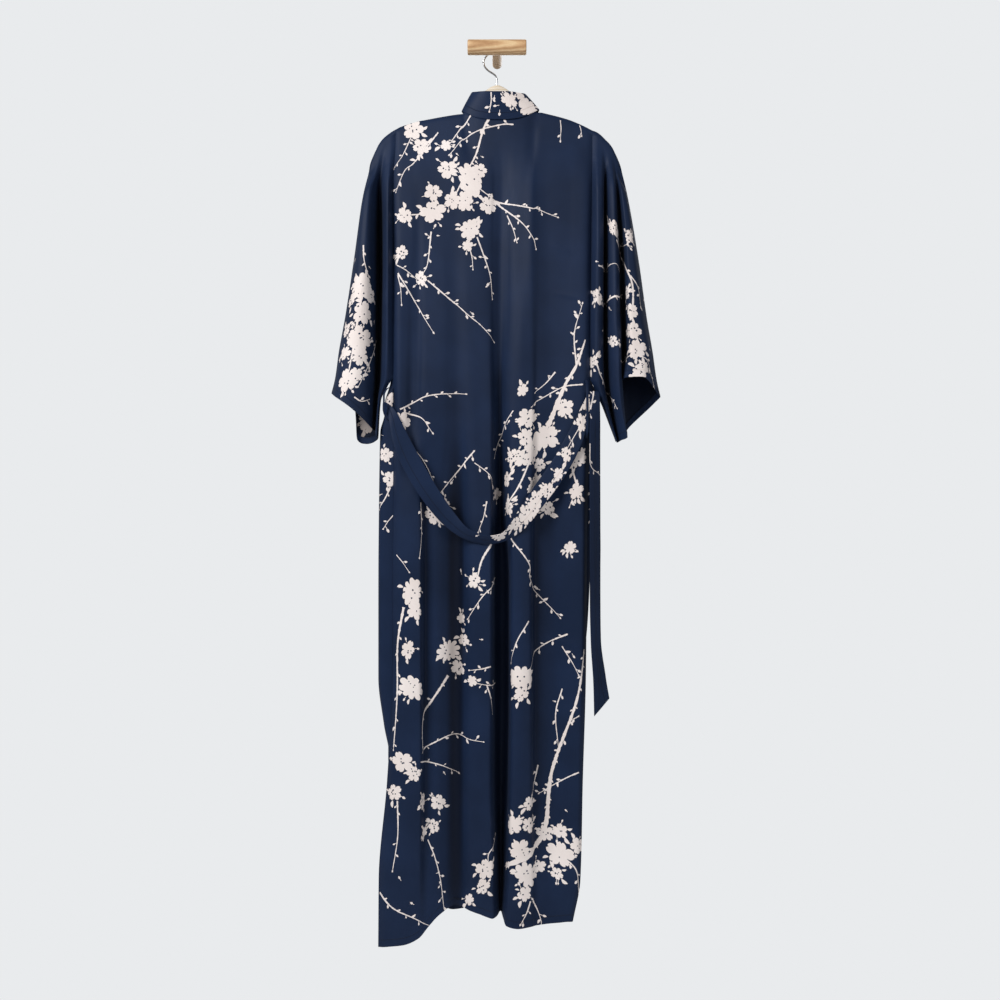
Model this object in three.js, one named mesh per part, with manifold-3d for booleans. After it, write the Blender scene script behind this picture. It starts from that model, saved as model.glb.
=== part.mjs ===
// A kimono robe seen from behind, on a wooden hanger that hangs from a wall peg.
// Millimetres. +X is to the right as seen, +Y goes into the wall, +Z is up.
// The origin is the middle of the peg stem's wall face.
import * as THREE from "three";
import Module from "manifold-3d";

const wasm = await Module();
wasm.setup();

// Driving sizes
const CLOTH = 1.4; // wall of a single cloth, hems included
const BAND = 2.4; // wall of the folded neckband
const SASH = 2.0; // wall of the tie belt
const SEAM = 0.5; // half the gap that stands for a seam
const HANG_Y = -36; // plane of the hanger and its hook
const UNDERARM_Z = { left: -550, right: -555 }; // lowest point of both armholes
const FRONT_HEM_Z = -1455;
const BAR = { length: 98, diameter: 25, y: -80, socket: 12 };
const STEM = { diameter: 16 };
const WIRE = { diameter: 3, radius: 24 };
const ROW_DROPS = [0, 1.6, 8, 24, 55]; // first rows below a shoulder line
const SEEN_DROPS = [[1.6, -41.5], [8, -45.2], [24, -47]]; // drop, y: cloth bulging over the hanger, seen side
const WALL_DROPS = [[1.6, -30.5], [8, -26.8], [24, -25]]; // the same on the wall side
const KNOT_ROOM = { top: 30, hem: 20 }; // levels nearer than this to a top or a hem are left out
const FIT = 0.3; // gap between pieces of wood and wire that touch
const HOOK_HOLE = { slack: 0.5, length: 14, z: -53 };
const HANGER_SQUARENESS = 0.55; // 1 is an ellipse, 0 a rectangle

const FINISH = {
  satin: new THREE.MeshStandardMaterial({ color: 0x2a3555, roughness: 0.45 }),
  wood: new THREE.MeshStandardMaterial({ color: 0xd0a675, roughness: 0.6 }),
  steel: new THREE.MeshStandardMaterial({ color: 0xb9bcc0, roughness: 0.3, metalness: 1 }),
};

// Back panel: 20 vertical guide lines from the left seam to the right seam, at levels down the cloth.
const BACK_TOP = {
  x: [-172.1, -161, -144, -131, -119, -96, -63, -53, -28, -10, 4, 17, 30, 46, 63, 73.5, 89, 122, 146, 161.7],
  z: [-123.3, -118, -112.5, -109, -107, -102.5, -97.6, -101, -110.5, -112.6, -113, -112.8, -111.8, -108, -99.5, -94.8, -98, -107, -117, -125],
  y: [-36, -36, -36, -36, -36, -36, -36, -45.5, -51.5, -52.5, -52.5, -52.5, -52, -50.5, -45.5, -36, -36, -36, -36, -36],
};
const BACK_LEVELS = [
  { z: -222, x: [-175.4, -163.3, -144.8, -131.3, -119.5, -96.0, -67.0, -37.1, -13.5, -3.4, 6.7, 16.8, 28.6, 43.6, 57.0, 68.2, 89.1, 122.8, 146.4, 160.1],
    y: [-58, -62, -62, -62, -62, -62, -62, -62, -60, -57, -56, -58, -62, -65, -67, -65, -63, -62, -62, -58] },
  { z: -355, x: [-174.5, -162.2, -144.0, -130.7, -118.9, -95.5, -68.7, -36.8, -16.8, -5.1, 5.0, 16.8, 28.4, 43.4, 56.7, 68.5, 88.7, 122.2, 143.9, 157.7],
    y: [-68, -75, -73, -71, -72, -72, -71, -73, -70, -65, -62, -66, -73, -77, -80, -76, -73, -73, -74, -68] },
  { z: -488, x: [-174.0, -161.6, -143.7, -132.1, -118.5, -95.1, -68.5, -36.7, -15.0, -5.1, 5.0, 15.0, 26.7, 41.6, 56.6, 66.7, 88.5, 121.8, 143.3, 155.6],
    y: [-74, -82, -76, -75, -79, -80, -78, -81, -78, -70, -66, -72, -81, -86, -86, -81, -78, -80, -82, -74] },
  { z: -622, x: [-173.8, -161.3, -143.6, -133.5, -119.9, -94.9, -68.4, -36.6, -11.6, -3.4, 5.0, 13.4, 24.9, 39.9, 56.5, 66.7, 88.4, 121.5, 143.0, 155.3],
    y: [-76, -86, -78, -79, -83, -83, -79, -85, -84, -71, -66, -76, -87, -90, -88, -82, -80, -84, -87, -77] },
  { z: -755, x: [-173.7, -162.8, -142.6, -129.4, -120.1, -98.6, -68.6, -38.2, -11.6, -3.4, 5.0, 13.4, 23.2, 38.1, 54.7, 65.0, 88.5, 121.5, 141.2, 152.0],
    y: [-77, -88, -92, -91, -80, -77, -73, -88, -90, -70, -61, -72, -94, -97, -93, -80, -78, -85, -88, -77] },
  { z: -888, x: [-175.3, -164.2, -142.2, -127.4, -120.1, -98.6, -68.7, -38.1, -11.6, -3.4, 8.4, 18.4, 24.9, 39.7, 54.6, 63.4, 88.5, 121.4, 141.2, 150.3],
    y: [-78, -91, -97, -96, -80, -77, -72, -92, -95, -68, -58, -66, -96, -101, -97, -80, -78, -86, -89, -78] },
  { z: -1055, x: [-175.3, -164.1, -142.1, -127.3, -120.1, -98.6, -68.7, -38.1, -11.6, -3.4, 8.4, 18.4, 24.9, 39.7, 54.6, 63.4, 88.5, 121.4, 137.8, 148.5],
    y: [-78, -92, -98, -97, -80, -77, -72, -92, -95, -68, -58, -66, -96, -101, -97, -80, -78, -86, -89, -79] },
  { z: -1222, x: [-183.6, -170.8, -142.1, -127.3, -120.0, -98.5, -68.6, -38.1, -13.2, -3.4, 6.7, 16.8, 23.2, 38.0, 54.6, 63.3, 88.4, 118.1, 134.5, 143.3],
    y: [-79, -92, -98, -97, -82, -78, -73, -92, -95, -69, -58, -67, -96, -101, -97, -82, -79, -86, -89, -82] },
  { z: -1388, x: [-197.3, -180.5, -150.4, -129.0, -119.6, -98.3, -68.5, -38.2, -8.3, -0.0, 6.7, 13.4, 19.9, 38.1, 56.4, 66.5, 88.3, 114.7, 129.5, 138.9],
    y: [-84, -94, -98, -97, -88, -82, -76, -90, -93, -75, -63, -76, -94, -98, -94, -86, -83, -87, -90, -86] },
];
const BACK_HEM = {
  x: [-197.7, -180.5, -152.1, -129.0, -114.5, -94.9, -68.5, -38.2, -8.3, -0.0, 5.8, 10.0, 14.9, 34.8, 54.7, 66.5, 84.8, 104.7, 117.9, 126.3],
  y: [-88, -94, -97, -96, -90, -83, -77, -87, -90, -80, -70, -80, -92, -96, -93, -88, -86, -88, -90, -88],
  z: [-1498, -1495, -1491, -1480, -1464, -1445, -1433, -1440, -1450, -1449, -1446, -1452, -1461, -1465, -1463, -1462, -1460, -1457, -1455, -1456],
};

// Front panels: 10 guide lines from the armhole and side seam (first) to the neckband seam (last).
const FRONTS = {
  left: {
    top: { x: [-172.1, -168, -162, -154, -144, -128, -110, -92, -75, -59], z: [-123.3, -121, -118.3, -115.8, -112.5, -108.5, -105, -101.8, -99.3, -97] },
    levels: [
      { z: -219, x: [-176, -172, -165, -156, -145, -128, -111, -93, -76, -58.5], y: [-26, -21, -19, -19, -20, -22, -20, -19, -21, -21] },
      { z: -300, x: [-180, -176.5, -170, -160, -147, -129, -111, -93, -76, -58.5], y: [-30, -23, -18, -15, -19, -25, -19, -16, -22, -20] },
      { z: -370, x: [-181, -177, -171, -162, -148, -130, -111, -93, -76, -58], y: [-34, -25, -18, -15, -17, -27, -19, -15, -23, -20] },
      { z: -450, x: [-181, -178, -172.5, -163.5, -149, -130, -112, -93, -76, -58], y: [-42, -31, -21, -16, -16, -28, -19, -15, -24, -20] },
      { z: -505, x: [-179.4, -178.4, -174, -166, -150, -131, -112, -93, -76, -58], y: [-54, -42, -28, -17, -15, -28, -18, -15, -25, -20] },
      { z: -550, x: [-175.6, -179, -177.5, -169, -151, -131, -112, -93, -76, -58], y: [-74.4, -61, -41, -19, -15, -28, -18, -15, -25, -20] },
      { z: -590, x: [-175.3, -186.8, -190, -175.5, -152, -131, -112, -93, -76, -58], y: [-75.6, -67, -47, -20, -15, -29, -18, -15, -26, -20] },
      { z: -608, x: [-175.2, -187.5, -190.4, -176.5, -152.5, -131, -112, -93, -76, -58], y: [-75.8, -67.5, -47, -20, -15, -29, -18, -15, -26, -20] },
      { z: -640, x: [-175.2, -193.5, -198.2, -181, -154, -131, -112, -93, -76, -58], y: [-76.2, -67, -48, -20, -15, -29, -18, -15, -26, -20] },
      { z: -755, x: [-175.4, -195, -200, -184, -156, -132, -112, -93, -76, -58], y: [-77, -72, -50, -20, -15, -30, -18, -15, -26, -20] },
      { z: -888, x: [-176.7, -196, -201, -184, -157, -132, -112, -93, -76, -58], y: [-78, -70, -49, -19, -15, -30, -18, -15, -27, -20] },
      { z: -1055, x: [-176.7, -196, -201, -184, -157, -132, -112, -93, -76, -58], y: [-78, -70, -48, -19, -15, -30, -18, -15, -27, -20] },
      { z: -1130, x: [-177.4, -188, -192, -180, -156, -132, -112, -93, -76, -58], y: [-78, -70, -50, -19, -15, -30, -18, -15, -27, -20] },
      { z: -1222, x: [-174, -178, -177, -168, -150, -130, -112, -93, -76, -58], y: [-62, -52, -38, -18, -15, -29, -18, -15, -27, -20] },
      { z: FRONT_HEM_Z, x: [-176, -180, -178, -168, -150, -130, -112, -93, -76, -58], y: [-60, -50, -36, -18, -15, -29, -18, -15, -27, -20] },
    ],
  },
  right: {
    top: { x: [161.7, 158, 152, 145, 137, 124, 111, 98, 85, 72], z: [-125, -123, -120, -116.6, -112.8, -107.8, -103.6, -100.2, -97, -94.6] },
    levels: [
      { z: -219, x: [164, 161, 154, 146, 137, 123, 109, 96, 82, 69], y: [-26, -21, -19, -19, -20, -22, -20, -19, -21, -21] },
      { z: -300, x: [167.6, 164.5, 158.5, 150, 138, 122, 108, 94, 81, 67], y: [-30, -23, -18, -15, -19, -25, -19, -16, -22, -20] },
      { z: -370, x: [168.5, 165, 159, 150.5, 139, 122, 107, 93, 80, 65], y: [-34, -25, -18, -15, -17, -27, -19, -15, -23, -20] },
      { z: -450, x: [167.5, 165, 159.8, 151.5, 139, 121, 106, 91, 78, 63], y: [-42, -31, -21, -16, -16, -28, -19, -15, -24, -20] },
      { z: -510, x: [164.4, 163.6, 160, 152.5, 139, 121, 105, 91, 77, 62], y: [-55, -43, -29, -17, -15, -28, -18, -15, -25, -20] },
      { z: -555, x: [157.3, 160, 159, 153, 139, 121, 105, 91, 77, 61.5], y: [-74.8, -60, -40, -18, -15, -28, -18, -15, -25, -20] },
      { z: -575, x: [156.9, 166.6, 169.6, 156, 139, 121, 105, 91, 77, 61], y: [-75.6, -62, -44, -18.5, -15, -28.5, -18, -15, -25.5, -20] },
      { z: -622, x: [156.4, 164, 165, 154, 138, 120, 104, 90, 76, 60], y: [-77, -66, -46, -19, -15, -29, -18, -15, -26, -20] },
      { z: -755, x: [153.2, 161, 162, 152, 137, 119, 103, 89, 75, 59], y: [-77, -66, -46, -19, -15, -30, -18, -15, -26, -20] },
      { z: -888, x: [151.5, 156, 156, 147, 134, 118, 102, 88, 74, 58], y: [-78, -68, -48, -19, -15, -30, -18, -15, -27, -20] },
      { z: -960, x: [150.4, 152, 151, 143, 131, 116, 101, 87, 73, 58], y: [-78.5, -70, -50, -19, -15, -30, -18, -15, -27, -20] },
      { z: -1055, x: [139, 142, 140, 134, 124, 112, 99, 86, 72, 58], y: [-62, -54, -38, -18, -15, -29, -18, -15, -27, -20] },
      { z: -1222, x: [130, 133, 131, 126, 118, 108, 97, 85, 72, 58], y: [-60, -50, -36, -18, -15, -29, -18, -15, -27, -20] },
      { z: FRONT_HEM_Z, x: [112, 115, 114, 110, 105, 98, 90, 80, 69, 58], y: [-60, -50, -36, -18, -15, -28, -18, -15, -26, -20] },
    ],
  },
};

// Sleeves: 10 guide lines from the armhole (first) to the outer contour (last), for the layer seen from behind
// (back) and the layer on the wall side (front). Top and hem end each guide line.
const SLEEVES = {
  left: {
    top: { x: [-173.4, -180.6, -187.4, -194.2, -201.0, -206.1, -211.2, -214.7, -216.3, -217.4], z: [-123.3, -128.4, -133.5, -139.6, -148.8, -159.0, -170.7, -180.2, -188.6, -198.0], y: [-36, -36, -36, -36, -36.5, -37, -38, -40, -42, -44] },
    back: [
      { z: -232, x: [-177, -183, -190.2, -199, -206.4, -210.1, -214.7, -219.4, -223.4, -225.8], y: [-59, -69, -62, -46, -58, -65, -68, -66, -59, -46] },
      { z: -353, x: [-176.2, -182.4, -190, -199, -206.6, -213.1, -220.8, -229.5, -236.9, -243], y: [-68, -83, -69, -43, -70, -84, -89, -86, -73, -50] },
      { z: -450, x: [-176, -182.6, -190.6, -200.4, -207.6, -216.4, -227.6, -240, -250, -257.6], y: [-72.5, -85, -70, -43, -71, -87, -92, -89, -75, -50] },
      { z: -504, x: [-175.9, -183.4, -191.6, -201.6, -208.6, -217.6, -231, -246.3, -259.1, -267.5], y: [-74, -85, -70, -44, -73, -88, -94, -91, -76, -50] },
      { z: -550, x: [-177.6, -185.4, -193.2, -202.6, -210.2, -220.4, -235.8, -253.6, -266.2, -274], y: [-74, -82, -70, -46, -75, -89, -96, -92, -77, -51] },
      { z: -588, x: [-195, -196.4, -199.2, -204.6, -211.4, -222.6, -239.6, -258.8, -270.8, -280], y: [-64, -76, -72, -50, -76, -90, -97, -93, -78, -52] },
    ],
    front: [
      { z: -232, x: [-179.2, -184.2, -190.2, -199.9, -206.8, -210.1, -214.7, -219.4, -223.4, -225.8], y: [-26, -23, -22, -22, -22, -22, -24, -28, -35, -46] },
      { z: -300, x: [-182.8, -187.6, -192.5, -200.8, -207.2, -211.6, -218, -225, -230.8, -236], y: [-30, -25, -21, -18, -17, -18, -20, -24, -33, -48] },
      { z: -370, x: [-183.8, -188.6, -193.8, -201.8, -207.8, -213.6, -222, -231.5, -240, -245.5], y: [-34, -28, -23, -19, -15, -15, -18, -22, -32, -50] },
      { z: -450, x: [-183.8, -189.4, -195.4, -203.8, -208.7, -216.4, -227.6, -240, -250, -257.6], y: [-42, -34, -27, -21, -17, -15, -17, -22, -32, -50] },
      { z: -504, x: [-182.2, -189.2, -196, -205.2, -209.5, -217.6, -231, -246.3, -259.1, -267.5], y: [-54, -43, -33, -23, -18, -15, -17, -22, -32, -50] },
      { z: -550, x: [-177.6, -187.8, -196.6, -206.8, -212.6, -221.4, -235.8, -250.6, -264.2, -274], y: [-74, -56, -40, -26, -19, -16, -18, -23, -33, -51] },
      { z: -588, x: [-195, -197.6, -201, -209.4, -216.6, -226.6, -238, -252, -266, -280], y: [-64, -50, -39, -27, -20, -17, -20, -25, -34, -52] },
    ],
    hem: {
      back: { x: [-199.6, -201.2, -203.2, -207.0, -212.0, -224.1, -240.8, -259.2, -271.0, -280.0], z: [-650.5, -648.5, -645.5, -637.9, -631.3, -617.9, -602.8, -589.5, -581.8, -574.5], y: [-62, -76, -75, -59, -76, -90, -97, -93, -78, -52] },
      front: { x: [-199.6, -202.0, -206.0, -213.0, -222.0, -232.0, -240.5, -243.2, -262.0, -280.0], z: [-650.5, -652, -654, -657, -658.5, -657.5, -650, -601, -584, -574.5], y: [-62, -48, -38, -28, -21, -18, -22, -26, -34, -52] },
    },
  },
  right: {
    top: { x: [163.0, 170.2, 177.0, 183.8, 190.6, 195.7, 200.8, 205.1, 208.6, 211.3], z: [-125.0, -128.4, -133.5, -140.3, -147.1, -153.9, -164.2, -174.4, -184.5, -195.0], y: [-36, -36, -36, -36, -36.5, -37, -38, -40, -42, -44] },
    back: [
      { z: -232, x: [161.8, 168.5, 177, 183, 187.4, 196.3, 203.5, 209, 214.5, 219.9], y: [-59, -71, -67, -48, -63, -69, -56, -67, -62, -46] },
      { z: -353, x: [159.5, 167.2, 176.4, 182.6, 187.6, 198.1, 211, 216.8, 228.1, 240.2], y: [-68, -86, -78, -48, -74, -84, -58, -86, -84, -50] },
      { z: -450, x: [157.9, 166, 175.6, 182.4, 187.7, 198.5, 212.6, 220.2, 238.6, 253.8], y: [-72.3, -86, -78, -48, -77, -90, -58, -92, -88, -50] },
      { z: -504, x: [157.6, 165.8, 175.6, 182.6, 189.4, 202.4, 213.3, 221.8, 245.7, 263.2], y: [-73.7, -86, -78, -50, -78, -92, -58, -93, -90, -50] },
      { z: -555, x: [159.3, 167.4, 176.6, 184.4, 192, 203.4, 214, 226, 253, 271], y: [-74, -84, -77, -54, -78, -91, -62, -92, -90, -51] },
      { z: -600, x: [177.4, 180.6, 185.4, 191.4, 197.6, 207.6, 216.5, 228, 255, 276], y: [-66, -80, -76, -58, -78, -89, -68, -92, -90, -52] },
    ],
    front: [
      { z: -232, x: [167, 171.2, 177, 183, 187.4, 196.3, 203.5, 209, 214.5, 219.9], y: [-26, -23, -22, -22, -22, -22, -23, -26, -34, -46] },
      { z: -300, x: [170.4, 174.8, 179.5, 184, 188.4, 197.3, 207.5, 214, 222.5, 231], y: [-30, -25, -21, -18, -17, -18, -20, -23, -32, -48] },
      { z: -370, x: [171.3, 176, 181, 185.4, 189.4, 198.3, 211.3, 218.5, 230.5, 241.8], y: [-34, -28, -23, -19, -15, -15, -18, -22, -32, -50] },
      { z: -450, x: [170.3, 175.8, 181.4, 186.6, 190.9, 198.5, 212.6, 222.2, 239, 253.8], y: [-42, -34, -27, -21, -17, -15, -17, -22, -32, -50] },
      { z: -504, x: [167.6, 174.6, 181.4, 187.6, 192.4, 200, 213.3, 223.8, 246, 263.2], y: [-54, -43, -33, -23, -18, -15, -17, -22, -32, -50] },
      { z: -555, x: [159.3, 170.4, 179.6, 188.4, 195, 203.4, 217, 232, 253, 271], y: [-74, -56, -40, -26, -19, -16, -18, -22, -32, -51] },
      { z: -600, x: [177.4, 182.4, 189.4, 197.4, 203.4, 210.4, 222, 238, 256.5, 273.6], y: [-66, -52, -40, -28, -21, -18, -18, -22, -32, -52] },
    ],
    hem: {
      back: { x: [199.0, 199.9, 201.2, 203.2, 207.0, 216.5, 209.5, 213.0, 242.0, 277.0], z: [-655.5, -657.0, -658.0, -657.5, -655.0, -650.0, -556.0, -551.0, -549.5, -580.5], y: [-62, -76, -76, -62, -78, -88, -68, -86, -91, -52] },
      front: { x: [199.0, 200.6, 203.0, 206.6, 211.0, 216.0, 226.0, 243.0, 260.0, 277.0], z: [-655.5, -656, -655, -653.5, -650, -645, -631, -614, -598, -580.5], y: [-62, -48, -38, -28, -21, -18, -18, -22, -32, -52] },
    },
  },
};

// Ribbons: points on the middle line, and the width from the lower or seam edge to the upper or free edge.
const COLLAR_HALF = [
  // seam x, y, z, free edge x, y, z: from the middle of the back neck round to the hem, left side
  [6, -53.5, -112.0, 0, -56.5, -65.0], [-14, -53.0, -111.4, -14, -55.5, -64.4], [-36, -50.0, -107.4, -26, -52.5, -63.8],
  [-51, -45.4, -99.4, -35.5, -46.5, -62.6], [-60.4, -36.6, -93.4, -42.5, -37.0, -60.8], [-57.8, -29.6, -96.0, -38.5, -24.2, -64.0],
  [-56.6, -23.2, -118.0, -26.0, -18.6, -86.0], [-56.9, -20.4, -160.0, -13.0, -16.0, -140.0], [-57.0, -20.4, -219.0, -8.0, -16.0, -215.0],
  [-57.0, -19.4, -405.0, -7.0, -15.5, -405.0], [-56.9, -19.4, -755.0, -7.0, -15.5, -755.0],
  [-56.9, -19.4, -1105.0, -7.0, -15.5, -1105.0], [-56.9, -19.4, -1455.0, -7.0, -15.5, -1455.0],
];
const COLLAR_OTHER = [
  // the same on the right side, without the middle point
  [28, -53.4, -110.6, 14, -55.5, -64.6], [45, -51.4, -106.4, 26, -52.5, -64.4], [61.5, -45.8, -97.8, 37.5, -46.5, -64.6],
  [72.0, -36.6, -90.6, 47.5, -37.0, -63.4], [70.0, -29.6, -94.4, 46.5, -24.2, -66.4], [68.6, -23.2, -116.0, 33.0, -18.6, -88.0],
  [67.6, -20.4, -160.0, 23.0, -16.0, -142.0], [66.6, -20.4, -219.0, 17.5, -16.0, -215.0], [62.2, -19.4, -405.0, 12.5, -15.5, -405.0],
  [57.4, -19.4, -755.0, 7.5, -15.5, -755.0], [56.9, -19.4, -1105.0, 7.0, -15.5, -1105.0], [56.9, -19.4, -1455.0, 7.0, -15.5, -1455.0],
];
const BELT_LINE = [
  // middle x, y, z, width x, y, z: the hidden left tail, the left loop, the swag, the right loop, the right tail
  [-172, -7, -1262, -30, 0, 10], [-172, -7, -1100, -33, 0, 0], [-173, -7, -860, -33, 0, 0], [-174, -7, -700, -30, 0, 1],
  [-176, -7, -645, -20, 0, 4], [-181, -10, -615, -8, 1, 12], [-188.6, -22, -602, -1, 0, 15], [-193.2, -42, -598, 0, 0, 15],
  [-192.1, -60, -597.6, 0, 1, 14], [-187.5, -75, -599, 2, 2, 15], [-179.6, -84, -606, 6, 2, 16], [-173, -89, -618, 11, 2, 19],
  [-165, -92.5, -641, 17, 2, 23], [-151, -96, -674, 24, 2, 21], [-131, -98.2, -712, 28, 2, 17], [-108, -99.5, -749, 25, 2, 19],
  [-80, -101, -785, 16, -4, 22], [-48, -102.8, -812, 6, -15, 18], [-17, -104.2, -821, 3, -17, 15], [5, -106.0, -818, 0, -17, 15],
  [26, -106.6, -804, -8, -12, 20], [45, -103.0, -782, -14, -3, 28], [68, -99.6, -750, -17, 0, 29], [93, -97.5, -716, -20, 2, 27],
  [116, -95, -679, -21, 2, 25], [134, -93.5, -642, -19, 3, 22], [145, -91.2, -611, -14, 3, 15], [151.5, -88.5, -594, -13, 2, 8],
  [156.2, -87, -582, -13, 1, 4], [159.0, -88.5, -575.8, -14, -1, 1], [160.6, -93.5, -575.2, -15, -3, 0], [161.8, -97.0, -582, -16, -5, 0],
  [162.4, -96.0, -600, -17, -8, 0], [162.4, -92, -640, -19, -14, 0], [162.8, -90, -755, -19, -18, 0], [163, -90, -921, -19, -18, 0],
  [164, -90, -987, -18.5, -18, 0], [170, -90, -1050, -22, -16, -6], [174, -90, -1099, -26.5, -12, -28],
];
const LOOPS = {
  // middle x, y, z, width x, y, z of a narrow cloth strip that stands off the side seam round the belt
  belt_loop_left: [[-176.9, -76.9, -566, 3, -3, 0], [-183.5, -87.5, -571, 3, -3, 0], [-187.6, -91.4, -583, 3, -3, 0], [-187.6, -91.4, -606, 3, -3, 0], [-183.5, -87.0, -619, 3, -3, 0], [-176.9, -77.3, -626, 3, -3, 0]],
  belt_loop_right: [[148.6, -84.6, -556, 4.4, 3.2, 0], [149.2, -91, -562, 4.4, 2, 0], [149.4, -96.5, -574, 4.4, 1, 0], [149.4, -100.2, -616, 4.4, 1, 0], [149.2, -98, -642, 4.4, 1, 0], [148.4, -86.6, -652, 4.4, 3.2, 0]],
};

// Wooden hanger: top line, bottom line and half thickness from its left end to its right end.
const HANGER = {
  x: [-189, -184, -172, -157, -120, -90, -64, -56, -46, -30, -18, -8, 0, 8, 18, 30, 46, 58, 72, 100, 130, 150, 162, 172, 178],
  top: [-141, -134.5, -127.5, -119.5, -110.2, -105.6, -103, -101, -88, -67.5, -56.5, -50.5, -48, -50.5, -56.5, -67, -84, -98, -101, -104.6, -112.6, -121, -127.5, -134.5, -141],
  bottom: [-150, -153, -152, -148, -139, -132, -125, -122, -116, -105, -98, -94, -93, -94, -98, -105, -114, -119, -123, -131, -140, -147, -151.5, -153, -150],
  half: [2.5, 4.8, 5.6, 5.6, 5.6, 5.6, 5.4, 5.3, 5.3, 5.6, 6, 6, 6, 6, 6, 5.6, 5.3, 5.3, 5.4, 5.6, 5.6, 5.6, 5.6, 4.8, 2.5],
};
const HOOK_TAIL = [[-23.2, -8], [-21.2, -16], [-15.4, -23], [-7.5, -28.2], [-2.4, -32.2], [-0.4, -38], [0, -45], [0, -57]];

const lerp = (a, b, t) => a + (b - a) * t;

// Monotone cubic through (xs, ys), xs rising.
function curve(xs, ys) {
  const n = xs.length;
  const d = Array.from({ length: n - 1 }, (_, i) => (ys[i + 1] - ys[i]) / (xs[i + 1] - xs[i]));
  const m = ys.map((_, i) => {
    if (i === 0) return d[0];
    if (i === n - 1) return d[n - 2];
    if (d[i - 1] * d[i] <= 0) return 0;
    const a = xs[i] - xs[i - 1];
    const b = xs[i + 1] - xs[i];
    return (3 * (a + b)) / ((2 * b + a) / d[i - 1] + (b + 2 * a) / d[i]);
  });
  return (x) => {
    if (x <= xs[0]) return ys[0];
    if (x >= xs[n - 1]) return ys[n - 1];
    let i = 0;
    while (x > xs[i + 1]) i++;
    const h = xs[i + 1] - xs[i];
    const t = (x - xs[i]) / h;
    return (
      ys[i] * (1 + 2 * t) * (1 - t) ** 2 + m[i] * h * t * (1 - t) ** 2 +
      ys[i + 1] * t * t * (3 - 2 * t) + m[i + 1] * h * t * t * (t - 1)
    );
  };
}

// Smooth line through rows of equal length: at(t) for t from 0 to the last row's index.
function through(rows) {
  const index = rows.map((_, i) => i);
  const parts = rows[0].map((_, c) => curve(index, rows.map((r) => r[c])));
  return (t) => parts.map((p) => p(t));
}

// One guide line down a cloth: its knots are the top, the levels below it and the hem.
function guide(topPoint, drops, levels, hemPoint, column) {
  const knots = [[topPoint[2], topPoint[0], topPoint[1]]];
  for (const [drop, y] of drops) knots.push([topPoint[2] - drop, topPoint[0], y]);
  for (const level of levels)
    if (level.z < topPoint[2] - KNOT_ROOM.top && (!hemPoint || level.z > hemPoint[2] + KNOT_ROOM.hem))
      knots.push([level.z, level.x[column], level.y[column]]);
  if (hemPoint) knots.push([hemPoint[2], hemPoint[0], hemPoint[1]]);
  const down = knots.map((k) => -k[0]);
  const x = curve(down, knots.map((k) => k[1]));
  const y = curve(down, knots.map((k) => k[2]));
  const top = topPoint[2];
  const hem = knots.at(-1)[0];
  return { top, hem, at: (z) => [x(-z), y(-z), z] };
}

// Points of a cloth: rows[j][i] for the given shares down the cloth and steps between guide lines.
function clothRows(guides, shares, steps) {
  const zAt = (g, share, j) => {
    if (j < ROW_DROPS.length) return g.top - ROW_DROPS[j];
    return lerp(g.top - ROW_DROPS.at(-1), g.hem, share);
  };
  const all = [...ROW_DROPS.map(() => 0), ...shares];
  return all.map((share, j) => {
    const line = through(guides.map((g) => g.at(zAt(g, share, j))));
    const count = (guides.length - 1) * steps;
    return Array.from({ length: count + 1 }, (_, i) => line(i / steps));
  });
}

// Middle surface of quads, thickened to both sides of its own normals, with its open edges closed.
function shell(points, quads, wall) {
  const ids = new Map();
  const verts = [];
  const remap = points.map((p) => {
    const key = p.map((c) => Math.round(c * 500)).join();
    if (!ids.has(key)) {
      ids.set(key, verts.length);
      verts.push(p);
    }
    return ids.get(key);
  });
  const tris = [];
  for (const q of quads) {
    const [a, b, c, d] = q.map((i) => remap[i]);
    if (a !== b && b !== c && a !== c) tris.push([a, b, c]);
    if (a !== c && c !== d && a !== d) tris.push([a, c, d]);
  }
  const normals = verts.map(() => new THREE.Vector3());
  const v3 = verts.map((p) => new THREE.Vector3(...p));
  for (const [a, b, c] of tris) {
    const n = v3[b].clone().sub(v3[a]).cross(v3[c].clone().sub(v3[a]));
    for (const i of [a, b, c]) {
      const [p, q] = [a, b, c].filter((k) => k !== i);
      const angle = v3[p].clone().sub(v3[i]).angleTo(v3[q].clone().sub(v3[i]));
      normals[i].addScaledVector(n.clone().normalize(), angle);
    }
  }
  const count = verts.length;
  const out = [];
  for (const side of [0.5, -0.5])
    verts.forEach((p, i) => {
      const n = normals[i].normalize();
      out.push(p[0] + n.x * wall * side, p[1] + n.y * wall * side, p[2] + n.z * wall * side);
    });
  const index = [];
  const edges = new Map();
  for (const [a, b, c] of tris) {
    index.push(a, b, c, a + count, c + count, b + count);
    for (const [p, q] of [[a, b], [b, c], [c, a]]) edges.set(p + "," + q, [p, q]);
  }
  for (const [p, q] of edges.values())
    if (!edges.has(q + "," + p)) index.push(q, p, p + count, q, p + count, q + count);
  return closed(out, index);
}

function closed(flat, index) {
  const g = new THREE.BufferGeometry();
  g.setAttribute("position", new THREE.Float32BufferAttribute(flat, 3));
  g.setIndex(index);
  return g;
}

// Quads of a grid of rows, turned so that the first row to the last and left to right face -Y.
function gridShell(rows, wall, flip = false) {
  const width = rows[0].length;
  const quads = [];
  for (let j = 0; j + 1 < rows.length; j++)
    for (let i = 0; i + 1 < width; i++) {
      const a = j * width + i;
      const q = [a, a + width, a + width + 1, a + 1];
      quads.push(flip ? q.reverse() : q);
    }
  return shell(rows.flat(), quads, wall);
}

const even = (count) => Array.from({ length: count }, (_, i) => (i + 1) / count);

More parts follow.
